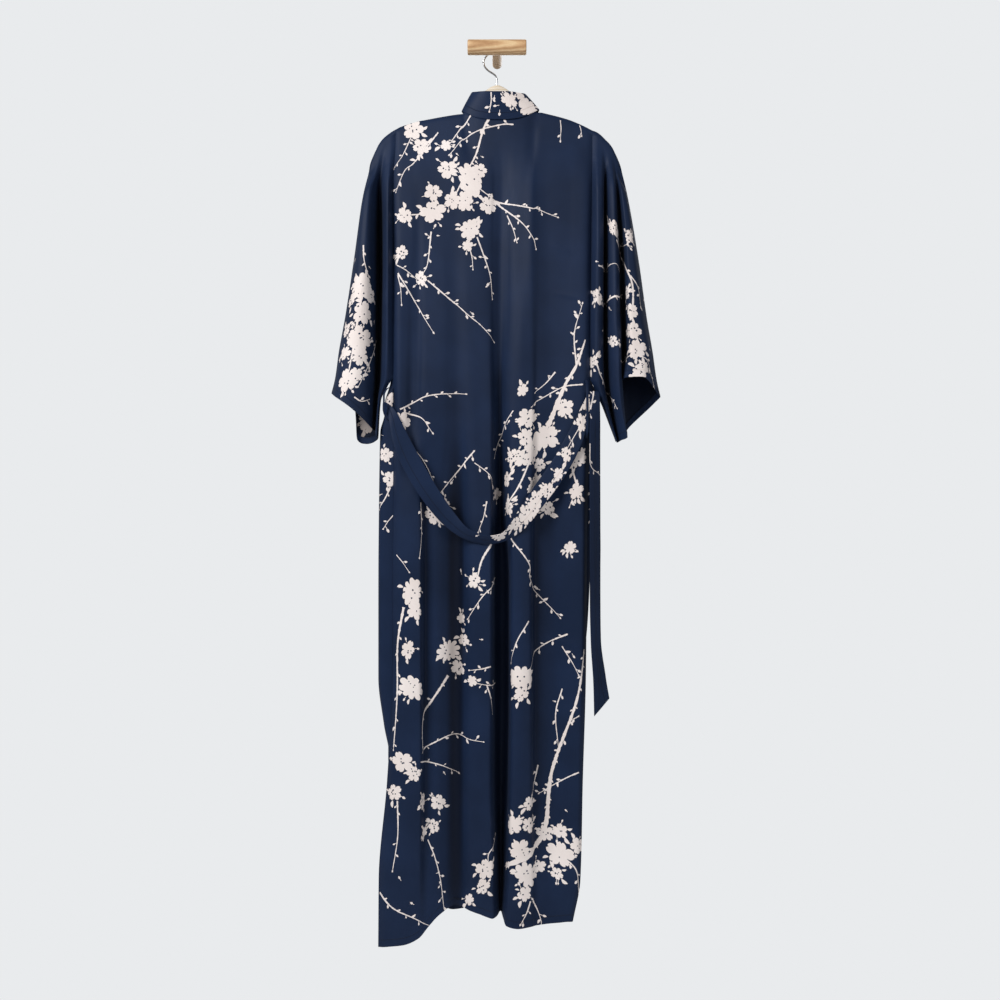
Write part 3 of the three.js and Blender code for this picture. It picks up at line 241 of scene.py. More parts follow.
# Sleeves: 10 guide lines from the armhole to the outer contour, for the seen layer and the wall side's
SLEEVES = {
    Side.LEFT: dict(
        top=dict(x=[-173.4, -180.6, -187.4, -194.2, -201.0, -206.1, -211.2, -214.7, -216.3, -217.4],
                 z=[-123.3, -128.4, -133.5, -139.6, -148.8, -159.0, -170.7, -180.2, -188.6, -198.0],
                 y=[-36, -36, -36, -36, -36.5, -37, -38, -40, -42, -44]),
        back=[
            dict(z=-232, x=[-177, -183, -190.2, -199, -206.4, -210.1, -214.7, -219.4, -223.4, -225.8],
                 y=[-59, -69, -62, -46, -58, -65, -68, -66, -59, -46]),
            dict(z=-353, x=[-176.2, -182.4, -190, -199, -206.6, -213.1, -220.8, -229.5, -236.9, -243],
                 y=[-68, -83, -69, -43, -70, -84, -89, -86, -73, -50]),
            dict(z=-450, x=[-176, -182.6, -190.6, -200.4, -207.6, -216.4, -227.6, -240, -250, -257.6],
                 y=[-72.5, -85, -70, -43, -71, -87, -92, -89, -75, -50]),
            dict(z=-504, x=[-175.9, -183.4, -191.6, -201.6, -208.6, -217.6, -231, -246.3, -259.1, -267.5],
                 y=[-74, -85, -70, -44, -73, -88, -94, -91, -76, -50]),
            dict(z=-550, x=[-177.6, -185.4, -193.2, -202.6, -210.2, -220.4, -235.8, -253.6, -266.2, -274],
                 y=[-74, -82, -70, -46, -75, -89, -96, -92, -77, -51]),
            dict(z=-588, x=[-195, -196.4, -199.2, -204.6, -211.4, -222.6, -239.6, -258.8, -270.8, -280],
                 y=[-64, -76, -72, -50, -76, -90, -97, -93, -78, -52]),
        ],
        front=[
            dict(z=-232, x=[-179.2, -184.2, -190.2, -199.9, -206.8, -210.1, -214.7, -219.4, -223.4, -225.8],
                 y=[-26, -23, -22, -22, -22, -22, -24, -28, -35, -46]),
            dict(z=-300, x=[-182.8, -187.6, -192.5, -200.8, -207.2, -211.6, -218, -225, -230.8, -236],
                 y=[-30, -25, -21, -18, -17, -18, -20, -24, -33, -48]),
            dict(z=-370, x=[-183.8, -188.6, -193.8, -201.8, -207.8, -213.6, -222, -231.5, -240, -245.5],
                 y=[-34, -28, -23, -19, -15, -15, -18, -22, -32, -50]),
            dict(z=-450, x=[-183.8, -189.4, -195.4, -203.8, -208.7, -216.4, -227.6, -240, -250, -257.6],
                 y=[-42, -34, -27, -21, -17, -15, -17, -22, -32, -50]),
            dict(z=-504, x=[-182.2, -189.2, -196, -205.2, -209.5, -217.6, -231, -246.3, -259.1, -267.5],
                 y=[-54, -43, -33, -23, -18, -15, -17, -22, -32, -50]),
            dict(z=-550, x=[-177.6, -187.8, -196.6, -206.8, -212.6, -221.4, -235.8, -250.6, -264.2, -274],
                 y=[-74, -56, -40, -26, -19, -16, -18, -23, -33, -51]),
            dict(z=-588, x=[-195, -197.6, -201, -209.4, -216.6, -226.6, -238, -252, -266, -280],
                 y=[-64, -50, -39, -27, -20, -17, -20, -25, -34, -52]),
        ],
        back_hem=dict(x=[-199.6, -201.2, -203.2, -207.0, -212.0, -224.1, -240.8, -259.2, -271.0, -280.0],
                      z=[-650.5, -648.5, -645.5, -637.9, -631.3, -617.9, -602.8, -589.5, -581.8, -574.5],
                      y=[-62, -76, -75, -59, -76, -90, -97, -93, -78, -52]),
        front_hem=dict(x=[-199.6, -202.0, -206.0, -213.0, -222.0, -232.0, -240.5, -243.2, -262.0, -280.0],
                       z=[-650.5, -652, -654, -657, -658.5, -657.5, -650, -601, -584, -574.5],
                       y=[-62, -48, -38, -28, -21, -18, -22, -26, -34, -52]),
    ),
    Side.RIGHT: dict(
        top=dict(x=[163.0, 170.2, 177.0, 183.8, 190.6, 195.7, 200.8, 205.1, 208.6, 211.3],
                 z=[-125.0, -128.4, -133.5, -140.3, -147.1, -153.9, -164.2, -174.4, -184.5, -195.0],
                 y=[-36, -36, -36, -36, -36.5, -37, -38, -40, -42, -44]),
        back=[
            dict(z=-232, x=[161.8, 168.5, 177, 183, 187.4, 196.3, 203.5, 209, 214.5, 219.9],
                 y=[-59, -71, -67, -48, -63, -69, -56, -67, -62, -46]),
            dict(z=-353, x=[159.5, 167.2, 176.4, 182.6, 187.6, 198.1, 211, 216.8, 228.1, 240.2],
                 y=[-68, -86, -78, -48, -74, -84, -58, -86, -84, -50]),
            dict(z=-450, x=[157.9, 166, 175.6, 182.4, 187.7, 198.5, 212.6, 220.2, 238.6, 253.8],
                 y=[-72.3, -86, -78, -48, -77, -90, -58, -92, -88, -50]),
            dict(z=-504, x=[157.6, 165.8, 175.6, 182.6, 189.4, 202.4, 213.3, 221.8, 245.7, 263.2],
                 y=[-73.7, -86, -78, -50, -78, -92, -58, -93, -90, -50]),
            dict(z=-555, x=[159.3, 167.4, 176.6, 184.4, 192, 203.4, 214, 226, 253, 271],
                 y=[-74, -84, -77, -54, -78, -91, -62, -92, -90, -51]),
            dict(z=-600, x=[177.4, 180.6, 185.4, 191.4, 197.6, 207.6, 216.5, 228, 255, 276],
                 y=[-66, -80, -76, -58, -78, -89, -68, -92, -90, -52]),
        ],
        front=[
            dict(z=-232, x=[167, 171.2, 177, 183, 187.4, 196.3, 203.5, 209, 214.5, 219.9],
                 y=[-26, -23, -22, -22, -22, -22, -23, -26, -34, -46]),
            dict(z=-300, x=[170.4, 174.8, 179.5, 184, 188.4, 197.3, 207.5, 214, 222.5, 231],
                 y=[-30, -25, -21, -18, -17, -18, -20, -23, -32, -48]),
            dict(z=-370, x=[171.3, 176, 181, 185.4, 189.4, 198.3, 211.3, 218.5, 230.5, 241.8],
                 y=[-34, -28, -23, -19, -15, -15, -18, -22, -32, -50]),
            dict(z=-450, x=[170.3, 175.8, 181.4, 186.6, 190.9, 198.5, 212.6, 222.2, 239, 253.8],
                 y=[-42, -34, -27, -21, -17, -15, -17, -22, -32, -50]),
            dict(z=-504, x=[167.6, 174.6, 181.4, 187.6, 192.4, 200, 213.3, 223.8, 246, 263.2],
                 y=[-54, -43, -33, -23, -18, -15, -17, -22, -32, -50]),
            dict(z=-555, x=[159.3, 170.4, 179.6, 188.4, 195, 203.4, 217, 232, 253, 271],
                 y=[-74, -56, -40, -26, -19, -16, -18, -22, -32, -51]),
            dict(z=-600, x=[177.4, 182.4, 189.4, 197.4, 203.4, 210.4, 222, 238, 256.5, 273.6],
                 y=[-66, -52, -40, -28, -21, -18, -18, -22, -32, -52]),
        ],
        back_hem=dict(x=[199.0, 199.9, 201.2, 203.2, 207.0, 216.5, 209.5, 213.0, 242.0, 277.0],
                      z=[-655.5, -657.0, -658.0, -657.5, -655.0, -650.0, -556.0, -551.0, -549.5, -580.5],
                      y=[-62, -76, -76, -62, -78, -88, -68, -86, -91, -52]),
        front_hem=dict(x=[199.0, 200.6, 203.0, 206.6, 211.0, 216.0, 226.0, 243.0, 260.0, 277.0],
                       z=[-655.5, -656, -655, -653.5, -650, -645, -631, -614, -598, -580.5],
                       y=[-62, -48, -38, -28, -21, -18, -18, -22, -32, -52]),
    ),
}

# Neckband: seam point x, y, z and free edge point x, y, z, from the middle of the back neck to each hem
BAND_LEFT = [
    (6, -53.5, -112.0, 0, -56.5, -65.0), (-14, -53.0, -111.4, -14, -55.5, -64.4),
    (-36, -50.0, -107.4, -26, -52.5, -63.8), (-51, -45.4, -99.4, -35.5, -46.5, -62.6),
    (-60.4, -36.6, -93.4, -42.5, -37.0, -60.8), (-57.8, -29.6, -96.0, -38.5, -24.2, -64.0),
    (-56.6, -23.2, -118.0, -26.0, -18.6, -86.0), (-56.9, -20.4, -160.0, -13.0, -16.0, -140.0),
    (-57.0, -20.4, -219.0, -8.0, -16.0, -215.0), (-57.0, -19.4, -405.0, -7.0, -15.5, -405.0),
    (-56.9, -19.4, -755.0, -7.0, -15.5, -755.0), (-56.9, -19.4, -1105.0, -7.0, -15.5, -1105.0),
    (-56.9, -19.4, -1455.0, -7.0, -15.5, -1455.0),
]
BAND_RIGHT = [
    (28, -53.4, -110.6, 14, -55.5, -64.6), (45, -51.4, -106.4, 26, -52.5, -64.4),
    (61.5, -45.8, -97.8, 37.5, -46.5, -64.6), (72.0, -36.6, -90.6, 47.5, -37.0, -63.4),
    (70.0, -29.6, -94.4, 46.5, -24.2, -66.4), (68.6, -23.2, -116.0, 33.0, -18.6, -88.0),
    (67.6, -20.4, -160.0, 23.0, -16.0, -142.0), (66.6, -20.4, -219.0, 17.5, -16.0, -215.0),
    (62.2, -19.4, -405.0, 12.5, -15.5, -405.0), (57.4, -19.4, -755.0, 7.5, -15.5, -755.0),
    (56.9, -19.4, -1105.0, 7.0, -15.5, -1105.0), (56.9, -19.4, -1455.0, 7.0, -15.5, -1455.0),
]
# Belt: middle x, y, z and width vector x, y, z, from the hidden left tail over the swag to the right tail
BELT_LINE = [
    (-172, -7, -1262, -30, 0, 10), (-172, -7, -1100, -33, 0, 0), (-173, -7, -860, -33, 0, 0),
    (-174, -7, -700, -30, 0, 1), (-176, -7, -645, -20, 0, 4), (-181, -10, -615, -8, 1, 12),
    (-188.6, -22, -602, -1, 0, 15), (-193.2, -42, -598, 0, 0, 15), (-192.1, -60, -597.6, 0, 1, 14),
    (-187.5, -75, -599, 2, 2, 15), (-179.6, -84, -606, 6, 2, 16), (-173, -89, -618, 11, 2, 19),
    (-165, -92.5, -641, 17, 2, 23), (-151, -96, -674, 24, 2, 21), (-131, -98.2, -712, 28, 2, 17),
    (-108, -99.5, -749, 25, 2, 19), (-80, -101, -785, 16, -4, 22), (-48, -102.8, -812, 6, -15, 18),
    (-17, -104.2, -821, 3, -17, 15), (5, -106.0, -818, 0, -17, 15), (26, -106.6, -804, -8, -12, 20),
    (45, -103.0, -782, -14, -3, 28), (68, -99.6, -750, -17, 0, 29), (93, -97.5, -716, -20, 2, 27),
    (116, -95, -679, -21, 2, 25), (134, -93.5, -642, -19, 3, 22), (145, -91.2, -611, -14, 3, 15),
    (151.5, -88.5, -594, -13, 2, 8), (156.2, -87, -582, -13, 1, 4), (159.0, -88.5, -575.8, -14, -1, 1),
    (160.6, -93.5, -575.2, -15, -3, 0), (161.8, -97.0, -582, -16, -5, 0), (162.4, -96.0, -600, -17, -8, 0),
    (162.4, -92, -640, -19, -14, 0), (162.8, -90, -755, -19, -18, 0), (163, -90, -921, -19, -18, 0),
    (164, -90, -987, -18.5, -18, 0), (170, -90, -1050, -22, -16, -6), (174, -90, -1099, -26.5, -12, -28),
]
# Belt loops: middle and width vector of a narrow strip that stands off the side seam round the belt
LOOPS = {
    Side.LEFT: [(-176.9, -76.9, -566, 3, -3, 0), (-183.5, -87.5, -571, 3, -3, 0),
                (-187.6, -91.4, -583, 3, -3, 0), (-187.6, -91.4, -606, 3, -3, 0),
                (-183.5, -87.0, -619, 3, -3, 0), (-176.9, -77.3, -626, 3, -3, 0)],
    Side.RIGHT: [(148.6, -84.6, -556, 4.4, 3.2, 0), (149.2, -91, -562, 4.4, 2, 0),
                 (149.4, -96.5, -574, 4.4, 1, 0), (149.4, -100.2, -616, 4.4, 1, 0),
                 (149.2, -98, -642, 4.4, 1, 0), (148.4, -86.6, -652, 4.4, 3.2, 0)],
}
# Hanger: x, top line z, bottom line z and half thickness
HANGER_SECTIONS = [
    (-189, -141, -150, 2.5), (-184, -134.5, -153, 4.8), (-172, -127.5, -152, 5.6), (-157, -119.5, -148, 5.6),
    (-120, -110.2, -139, 5.6), (-90, -105.6, -132, 5.6), (-64, -103, -125, 5.4), (-56, -101, -122, 5.3),
    (-46, -88, -116, 5.3), (-30, -67.5, -105, 5.6), (-18, -56.5, -98, 6), (-8, -50.5, -94, 6),
    (0, -48, -93, 6), (8, -50.5, -94, 6), (18, -56.5, -98, 6), (30, -67, -105, 5.6), (46, -84, -114, 5.3),
    (58, -98, -119, 5.3), (72, -101, -123, 5.4), (100, -104.6, -131, 5.6), (130, -112.6, -140, 5.6),
    (150, -121, -147, 5.6), (162, -127.5, -151.5, 5.6), (172, -134.5, -153, 4.8), (178, -141, -150, 2.5),
]
HOOK_TAIL = [(-23.2, -8), (-21.2, -16), (-15.4, -23), (-7.5, -28.2), (-2.4, -32.2), (-0.4, -38), (0, -45),
             (0, -57)]


def monotone(knots: np.ndarray, values: np.ndarray, at: np.ndarray) -> np.ndarray:
    """A smooth curve through knots that never overshoots them.

    Args:
        knots: rising positions, one for each row of values.
        values: rows of any shape, one for each knot.
        at: the positions wanted.

    Returns:
        One row for each position.
    """
    knots = np.asarray(knots, float)
    values = np.asarray(values, float)
    at = np.asarray(at, float)
    tail = (1,) * (values.ndim - 1)
    gap = np.diff(knots).reshape((-1,) + tail)
    rise = np.diff(values, axis=0) / gap
    slope = np.empty_like(values)
    slope[0], slope[-1] = rise[0], rise[-1]
    before, after = rise[:-1], rise[1:]
    same = before * after > 0
    a, b = gap[:-1], gap[1:]
    mean = (2 * b + a) / np.where(same, before, 1.0) + (b + 2 * a) / np.where(same, after, 1.0)
    slope[1:-1] = np.where(same, 3 * (a + b) / np.where(same, mean, 1.0), 0.0)
    i = np.clip(np.searchsorted(knots, at, side="right") - 1, 0, len(knots) - 2)
    h = gap[i]
    t = np.clip(((at - knots[i]) / (knots[i + 1] - knots[i])), 0, 1).reshape((-1,) + tail)
    return (values[i] * (1 + 2 * t) * (1 - t) ** 2 + slope[i] * h * t * (1 - t) ** 2
            + values[i + 1] * t * t * (3 - 2 * t) + slope[i + 1] * h * t * t * (t - 1))


def guide_line(top: tuple, drops: tuple, levels: list, hem: tuple | None, column: int) -> np.ndarray:
    """The knots of one guide line down a cloth, as rows of z, x, y from the top down.

    Args:
        top: the point x, y, z on the shoulder or neck line.
        drops: how far the cloth has fallen and its y there, just below the top.
        levels: the cloth's levels, each with its z and a list of x and y.
        hem: the point on the hem, or None where the last level is the hem.
        column: which guide line this is.
    """
    rows = [(top[2], top[0], top[1])]
    rows += [(top[2] - drop, top[0], y) for drop, y in drops]
    for level in levels:
        if level["z"] < top[2] - TOP_CLEAR and (hem is None or level["z"] > hem[2] + HEM_CLEAR):
            rows.append((level["z"], level["x"][column], level["y"][column]))
    if hem is not None:
        rows.append((hem[2], hem[0], hem[1]))
    return np.array(rows, float)


def woven(guides: list, steps_across: int, step_down: float) -> np.ndarray:
    """Points of a cloth between its guide lines.

    Args:
        guides: the guide lines' knots.
        steps_across: how many columns lie between two guide lines.
        step_down: about how far apart the rows lie.

    Returns:
        Points as rows, columns, xyz.
    """
    tall = max(g[0, 0] - g[-1, 0] for g in guides) - YOKE_DROP
    drops = np.array([0, 0.8, 1.6, 3, 5, 8, 11, 15, 19, 24, 29, 34, 39, 44, 49, YOKE_DROP])
    shares = np.linspace(0, 1, round(tall / step_down) + 1)[1:]
    lines = []
    for g in guides:
        z = np.concatenate([g[0, 0] - drops, (g[0, 0] - YOKE_DROP) * (1 - shares) + g[-1, 0] * shares])
        xy = monotone(-g[:, 0], g[:, 1:], -z)
        lines.append(np.column_stack([xy, z]))
    across = np.linspace(0, len(guides) - 1, (len(guides) - 1) * steps_across + 1)
    return monotone(np.arange(len(guides)), np.array(lines), across).transpose(1, 0, 2)


def eased(points: np.ndarray, passes: int) -> np.ndarray:
    """The points with small kinks smoothed out of their depth, edges kept."""
    out = points.copy()
    for _ in range(passes):
        y = out[:, :, 1]
        left, right = np.roll(y, 1, axis=1), np.roll(y, -1, axis=1)
        flat = (left + right + 2 * y) / 4
        flat[:, 0], flat[:, -1] = y[:, 0], y[:, -1]
        flat[1:-1] = (flat[:-2] + flat[2:] + 2 * flat[1:-1]) / 4
        flat[0], flat[-1] = y[0], y[-1]
        out[:, :, 1] = flat
    return out


def normals_of(points: np.ndarray, ring: bool = False) -> np.ndarray:
    """Unit normals of a grid of points, towards -Y where its columns go right and its rows go down."""
    down = np.gradient(points, axis=0)
    if ring:
        wrapped = np.concatenate([points[:, -2:-1], points, points[:, 1:2]], axis=1)
        across = (wrapped[:, 2:] - wrapped[:, :-2]) / 2
    else:
        across = np.gradient(points, axis=1)
    n = np.cross(down, across)
    return n / np.maximum(np.linalg.norm(n, axis=2, keepdims=True), 1e-9)


def seen(points: np.ndarray) -> np.ndarray:
    """Where points show in the photograph, in its pixels."""
    away = points[..., 1] - EYE[1]
    px = PICTURE_PX / 2 + FOCAL_PX * (points[..., 0] - EYE[0]) / away
    py = PICTURE_PX / 2 - FOCAL_PX * (points[..., 2] - EYE[2]) / away
    return np.stack([px, py], axis=-1)


@dataclass(frozen=True)
class Crease:
    """A soft ridge, or a trough where its height is negative, along a line in the photograph's pixels."""

    start: tuple
    end: tuple
    height: float
    half_width: float

    def over(self, px: np.ndarray) -> np.ndarray:
        """Height at each of the given pixel places."""
        a, b = np.array(self.start, float), np.array(self.end, float)
        along = b - a
        length = np.linalg.norm(along)
        t = ((px - a) @ along) / length**2
        side = ((px - a) @ np.array([-along[1], along[0]])) / length
        fade = np.where((t > 0) & (t < 1), np.sin(np.pi * np.clip(t, 0, 1)) ** 0.7, 0.0)
        return self.height * fade * np.exp(-((side / self.half_width) ** 2))


# Creases read from the photograph on the back, sharp ones from ironing
BACK_CREASES = [
    Crease((553, 292), (588, 300), 0.9, 2.2), Crease((550, 242), (572, 255), 0.8, 2.4),
    Crease((428, 637), (446, 636), 0.7, 1.6), Crease((534, 636), (586, 647), 0.8, 2.0),
]


@dataclass
class Sheet:
    """A dense grid of cloth with its place on the printed bolt.

    Each point has its distance across the bolt and down it, in mm.
    """

    points: np.ndarray
    ring: bool = False
    turned: bool = False
    folds: dict = field(default_factory=dict)
    shown: np.ndarray | None = None
    across: np.ndarray = field(init=False)
    down: np.ndarray = field(init=False)
    normals: np.ndarray = field(init=False)

    def __post_init__(self) -> None:
        """Measures the cloth."""
        self.measure()

    def measure(self) -> None:
        """Works out the normals and the lengths across and down the cloth."""
        p = self.points
        self.normals = normals_of(p, self.ring) * (-1 if self.turned else 1)
        step = np.linalg.norm(np.diff(p, axis=1), axis=2)
        self.across = np.concatenate([np.zeros((len(p), 1)), np.cumsum(step, axis=1)], axis=1)
        self.across -= self.across[:, [p.shape[1] // 2]]
        fall = np.linalg.norm(np.diff(p, axis=0), axis=2)
        top = p[0, :, 2].max() - p[0, :, 2]
        if self.ring:
            fall, top = np.broadcast_to(fall.mean(axis=1, keepdims=True), fall.shape), np.zeros(len(top))
        self.down = np.concatenate([top[None], top + np.cumsum(fall, axis=0)], axis=0)
        self.shown = None

    def valleys(self, reach: int) -> np.ndarray:
        """How deep each point lies behind the folds beside it, in mm.

        Args:
            reach: how many grid places to each side count as beside it.
        """
        y = self.points[..., 1]
        padded = np.pad(y, ((0, 0), (reach, reach)), mode="edge")
        sums = np.cumsum(np.pad(padded, ((0, 0), (1, 0))), axis=1)
        width = 2 * reach + 1
        return np.maximum(0, y - (sums[:, width:] - sums[:, :-width]) / width)

    def deepen(self, times: float, reach: int, columns: slice = slice(None)) -> None:
        """Lets the valleys between the folds fall further back.

        Args:
            times: how many times deeper they get.
            reach: half the width of a fold, in grid places.
            columns: the columns that it works on.
        """
        fade = np.clip(self.down / 150, 0, 1) ** 1.5
        lift = self.valleys(reach) * (times - 1) * fade
        self.points[:, columns, 1] += lift[:, columns]
        self.measure()

    def emboss(self, creases: list) -> None:
        """Raises soft creases on the side that is seen."""
        px = seen(self.points)
        lift = sum(c.over(px) for c in creases)
        self.points = self.points + self.normals * lift[..., None]
        self.measure()

    def groove(self, depth: float) -> None:
        """Draws both long edges back into a soft groove, as a seam lies."""
        count, rows_kept = 5, 6
        for k in range(count):
            sink = depth * (1 - k / count) ** 2
            self.points[rows_kept:, [k, -1 - k], 1] += sink
        self.measure()

    def tuck(self, columns: np.ndarray, rise: float, back_off: float) -> None:
        """Carries part of the top edge up behind the band that is sewn to it.

        Args:
            columns: which columns are sewn to the band.
            rise: how far up the edge goes, in mm.
            back_off: how far it is set back along +Y.
        """
        self.points[0, columns] += np.array([0, back_off, rise])
        self.measure()

    def ripple(self, seed: int, height: float, count: int, half: tuple) -> None:
        """Adds long, soft, uneven undulations.

        Args:
            seed: the draw of their places.
            height: the highest that one stands.
            count: how many there are.
            half: half width across and half length down, in mm.
        """
        rng = np.random.default_rng(seed)
        lift = np.zeros(self.across.shape)
        lo, hi = self.across.min(), self.across.max()
        for _ in range(count):
            a, b = rng.uniform(lo, hi), rng.uniform(0, self.down.max())
            wide, tall = half[0] * rng.uniform(0.5, 1.5), half[1] * rng.uniform(0.5, 1.6)
            lean = rng.uniform(-0.12, 0.12)
            da = self.across - a - lean * (self.down - b)
            lift += rng.uniform(-height, height) * np.exp(-((da / wide) ** 2) - ((self.down - b) / tall) ** 2)
        edge = np.minimum(self.across - self.across[:, :1], self.across[:, -1:] - self.across)
        hold = 1.0 if self.ring else np.clip(edge / 12, 0, 1)
        fade = np.clip(self.down / 60, 0, 1) * hold
        self.points = self.points + self.normals * (lift * fade)[..., None]
        self.measure()

    def seat(self, column: int, line: np.ndarray, reach: float, back_off: float = 0.0) -> None:
        """Draws one long edge onto a neighbour's edge, so that they meet in a seam.

        Args:
            column: 0 or -1, the edge that moves.
            line: the neighbour's edge, as points.
            reach: how near a point must be to be drawn over.
            back_off: how far the edge is then set back along +Y.
        """
        edge = self.points[:, column]
        apart = np.linalg.norm(edge[:, None] - line[None], axis=2)
        nearest = apart.argmin(axis=1)
        near = apart[np.arange(len(edge)), nearest]
        move = line[nearest] - edge + np.array([0, back_off, 0])
        move[near > reach] = 0
        count = 7
        for k in range(count):
            i = k if column == 0 else -1 - k
            self.points[:, i] += move * (1 - k / count) ** 2
        self.measure()

    def edge_distance(self) -> np.ndarray:
        """How far each point lies from the nearest folded edge, in mm."""
        last = len(self.down) - 1
        nearest = np.full(self.across.shape, 1000.0)
        for side, index in self.folds.items():
            if side == "bottom":
                gap = np.abs(self.down - self.down[last - index])
            else:
                gap = np.abs(self.across - self.across[:, [index]])
            nearest = np.minimum(nearest, gap)
        return nearest

    def turn_in(self, depth: float = HEM_DEPTH, fold: float = 0.5) -> None:
        """Turns the bottom edge in to the wearer's side as a hem.

        Args:
            depth: how deep the hem is.
            fold: half the room between the hem and the cloth.
        """
        foot = self.points[-1]
        out = foot - self.points[-2]
        out /= np.maximum(np.linalg.norm(out, axis=1, keepdims=True), 1e-9)
        inward = -self.normals[-1]
        added = []
        for angle in HEM_TURNS:
            bend = angle * math.pi
            added.append(foot + out * fold * math.sin(bend) + inward * fold * (1 - math.cos(bend)))
        for share in HEM_SHARES:
            added.append(foot - out * depth * share + inward * fold * 2)
        self.points = np.concatenate([self.points, np.array(added)], axis=0)
        self.measure()
        self.folds = dict(bottom=HEM_ROWS)

    def spot(self, px: float, py: float) -> np.ndarray:
        """The place on the bolt that shows at a pixel of the photograph."""
        if self.shown is None:
            self.shown = seen(self.points)
        off = np.hypot(self.shown[..., 0] - px, self.shown[..., 1] - py)
        near = off < off.min() + 1.2
        depth = np.where(near & (self.normals[..., 1] < 0.25), self.points[..., 1], 1e6)
        j, i = np.unravel_index(depth.argmin(), depth.shape)
        return np.array([self.across[j, i], self.down[j, i]])

    def index_of(self, bolt: np.ndarray) -> np.ndarray:
        """Finds points of the bolt in the grid: the nearest grid point, then a few linear steps.

        Args:
            bolt: distances across and down, one row for each point.

        Returns:
            Their columns and rows, with fractions.
        """
        rows, columns = self.across.shape
        coarse = 3
        known = np.stack([self.across[::coarse, ::coarse], self.down[::coarse, ::coarse]], axis=-1)
        off = np.hypot(*(bolt[:, None] - known.reshape(1, -1, 2)).transpose(2, 0, 1))
        j, i = np.unravel_index(off.argmin(axis=1), known.shape[:2])
        place = np.column_stack([i, j]).astype(float) * coarse
        for _ in range(6):
            place[:, 0] = np.clip(place[:, 0], 0, columns - 1.001)
            place[:, 1] = np.clip(place[:, 1], 0, rows - 1.001)
            i, j = place[:, 0].astype(int), place[:, 1].astype(int)
            fi, fj = place[:, 0] - i, place[:, 1] - j
            da = np.maximum(self.across[j, i + 1] - self.across[j, i], 0.3)
            db = np.maximum(self.down[j + 1, i] - self.down[j, i], 0.3)
            across = self.sample(self.across, i, j, fi, fj)
            down = self.sample(self.down, i, j, fi, fj)
            place[:, 0] += np.clip((bolt[:, 0] - across) / da, -coarse, coarse)
            place[:, 1] += np.clip((bolt[:, 1] - down) / db, -coarse, coarse)
        place[:, 0] = np.clip(place[:, 0], 0, columns - 1)
        place[:, 1] = np.clip(place[:, 1], 0, rows - 1)
        return place

    @staticmethod
    def sample(values: np.ndarray, i: np.ndarray, j: np.ndarray, fi: np.ndarray,
               fj: np.ndarray) -> np.ndarray:
        """Values between grid places.

        Args:
            values: one value or point for each grid place.
            i: whole columns.
            j: whole rows.
            fi: how far on towards the next column, from 0 to 1.
            fj: how far on towards the next row, from 0 to 1.
        """
        shape = (-1,) + (1,) * (values.ndim - 2)
        fi, fj = fi.reshape(shape), fj.reshape(shape)
        upper = values[j, i] * (1 - fi) + values[j, i + 1] * fi
        lower = values[j + 1, i] * (1 - fi) + values[j + 1, i + 1] * fi
        return upper * (1 - fj) + lower * fj


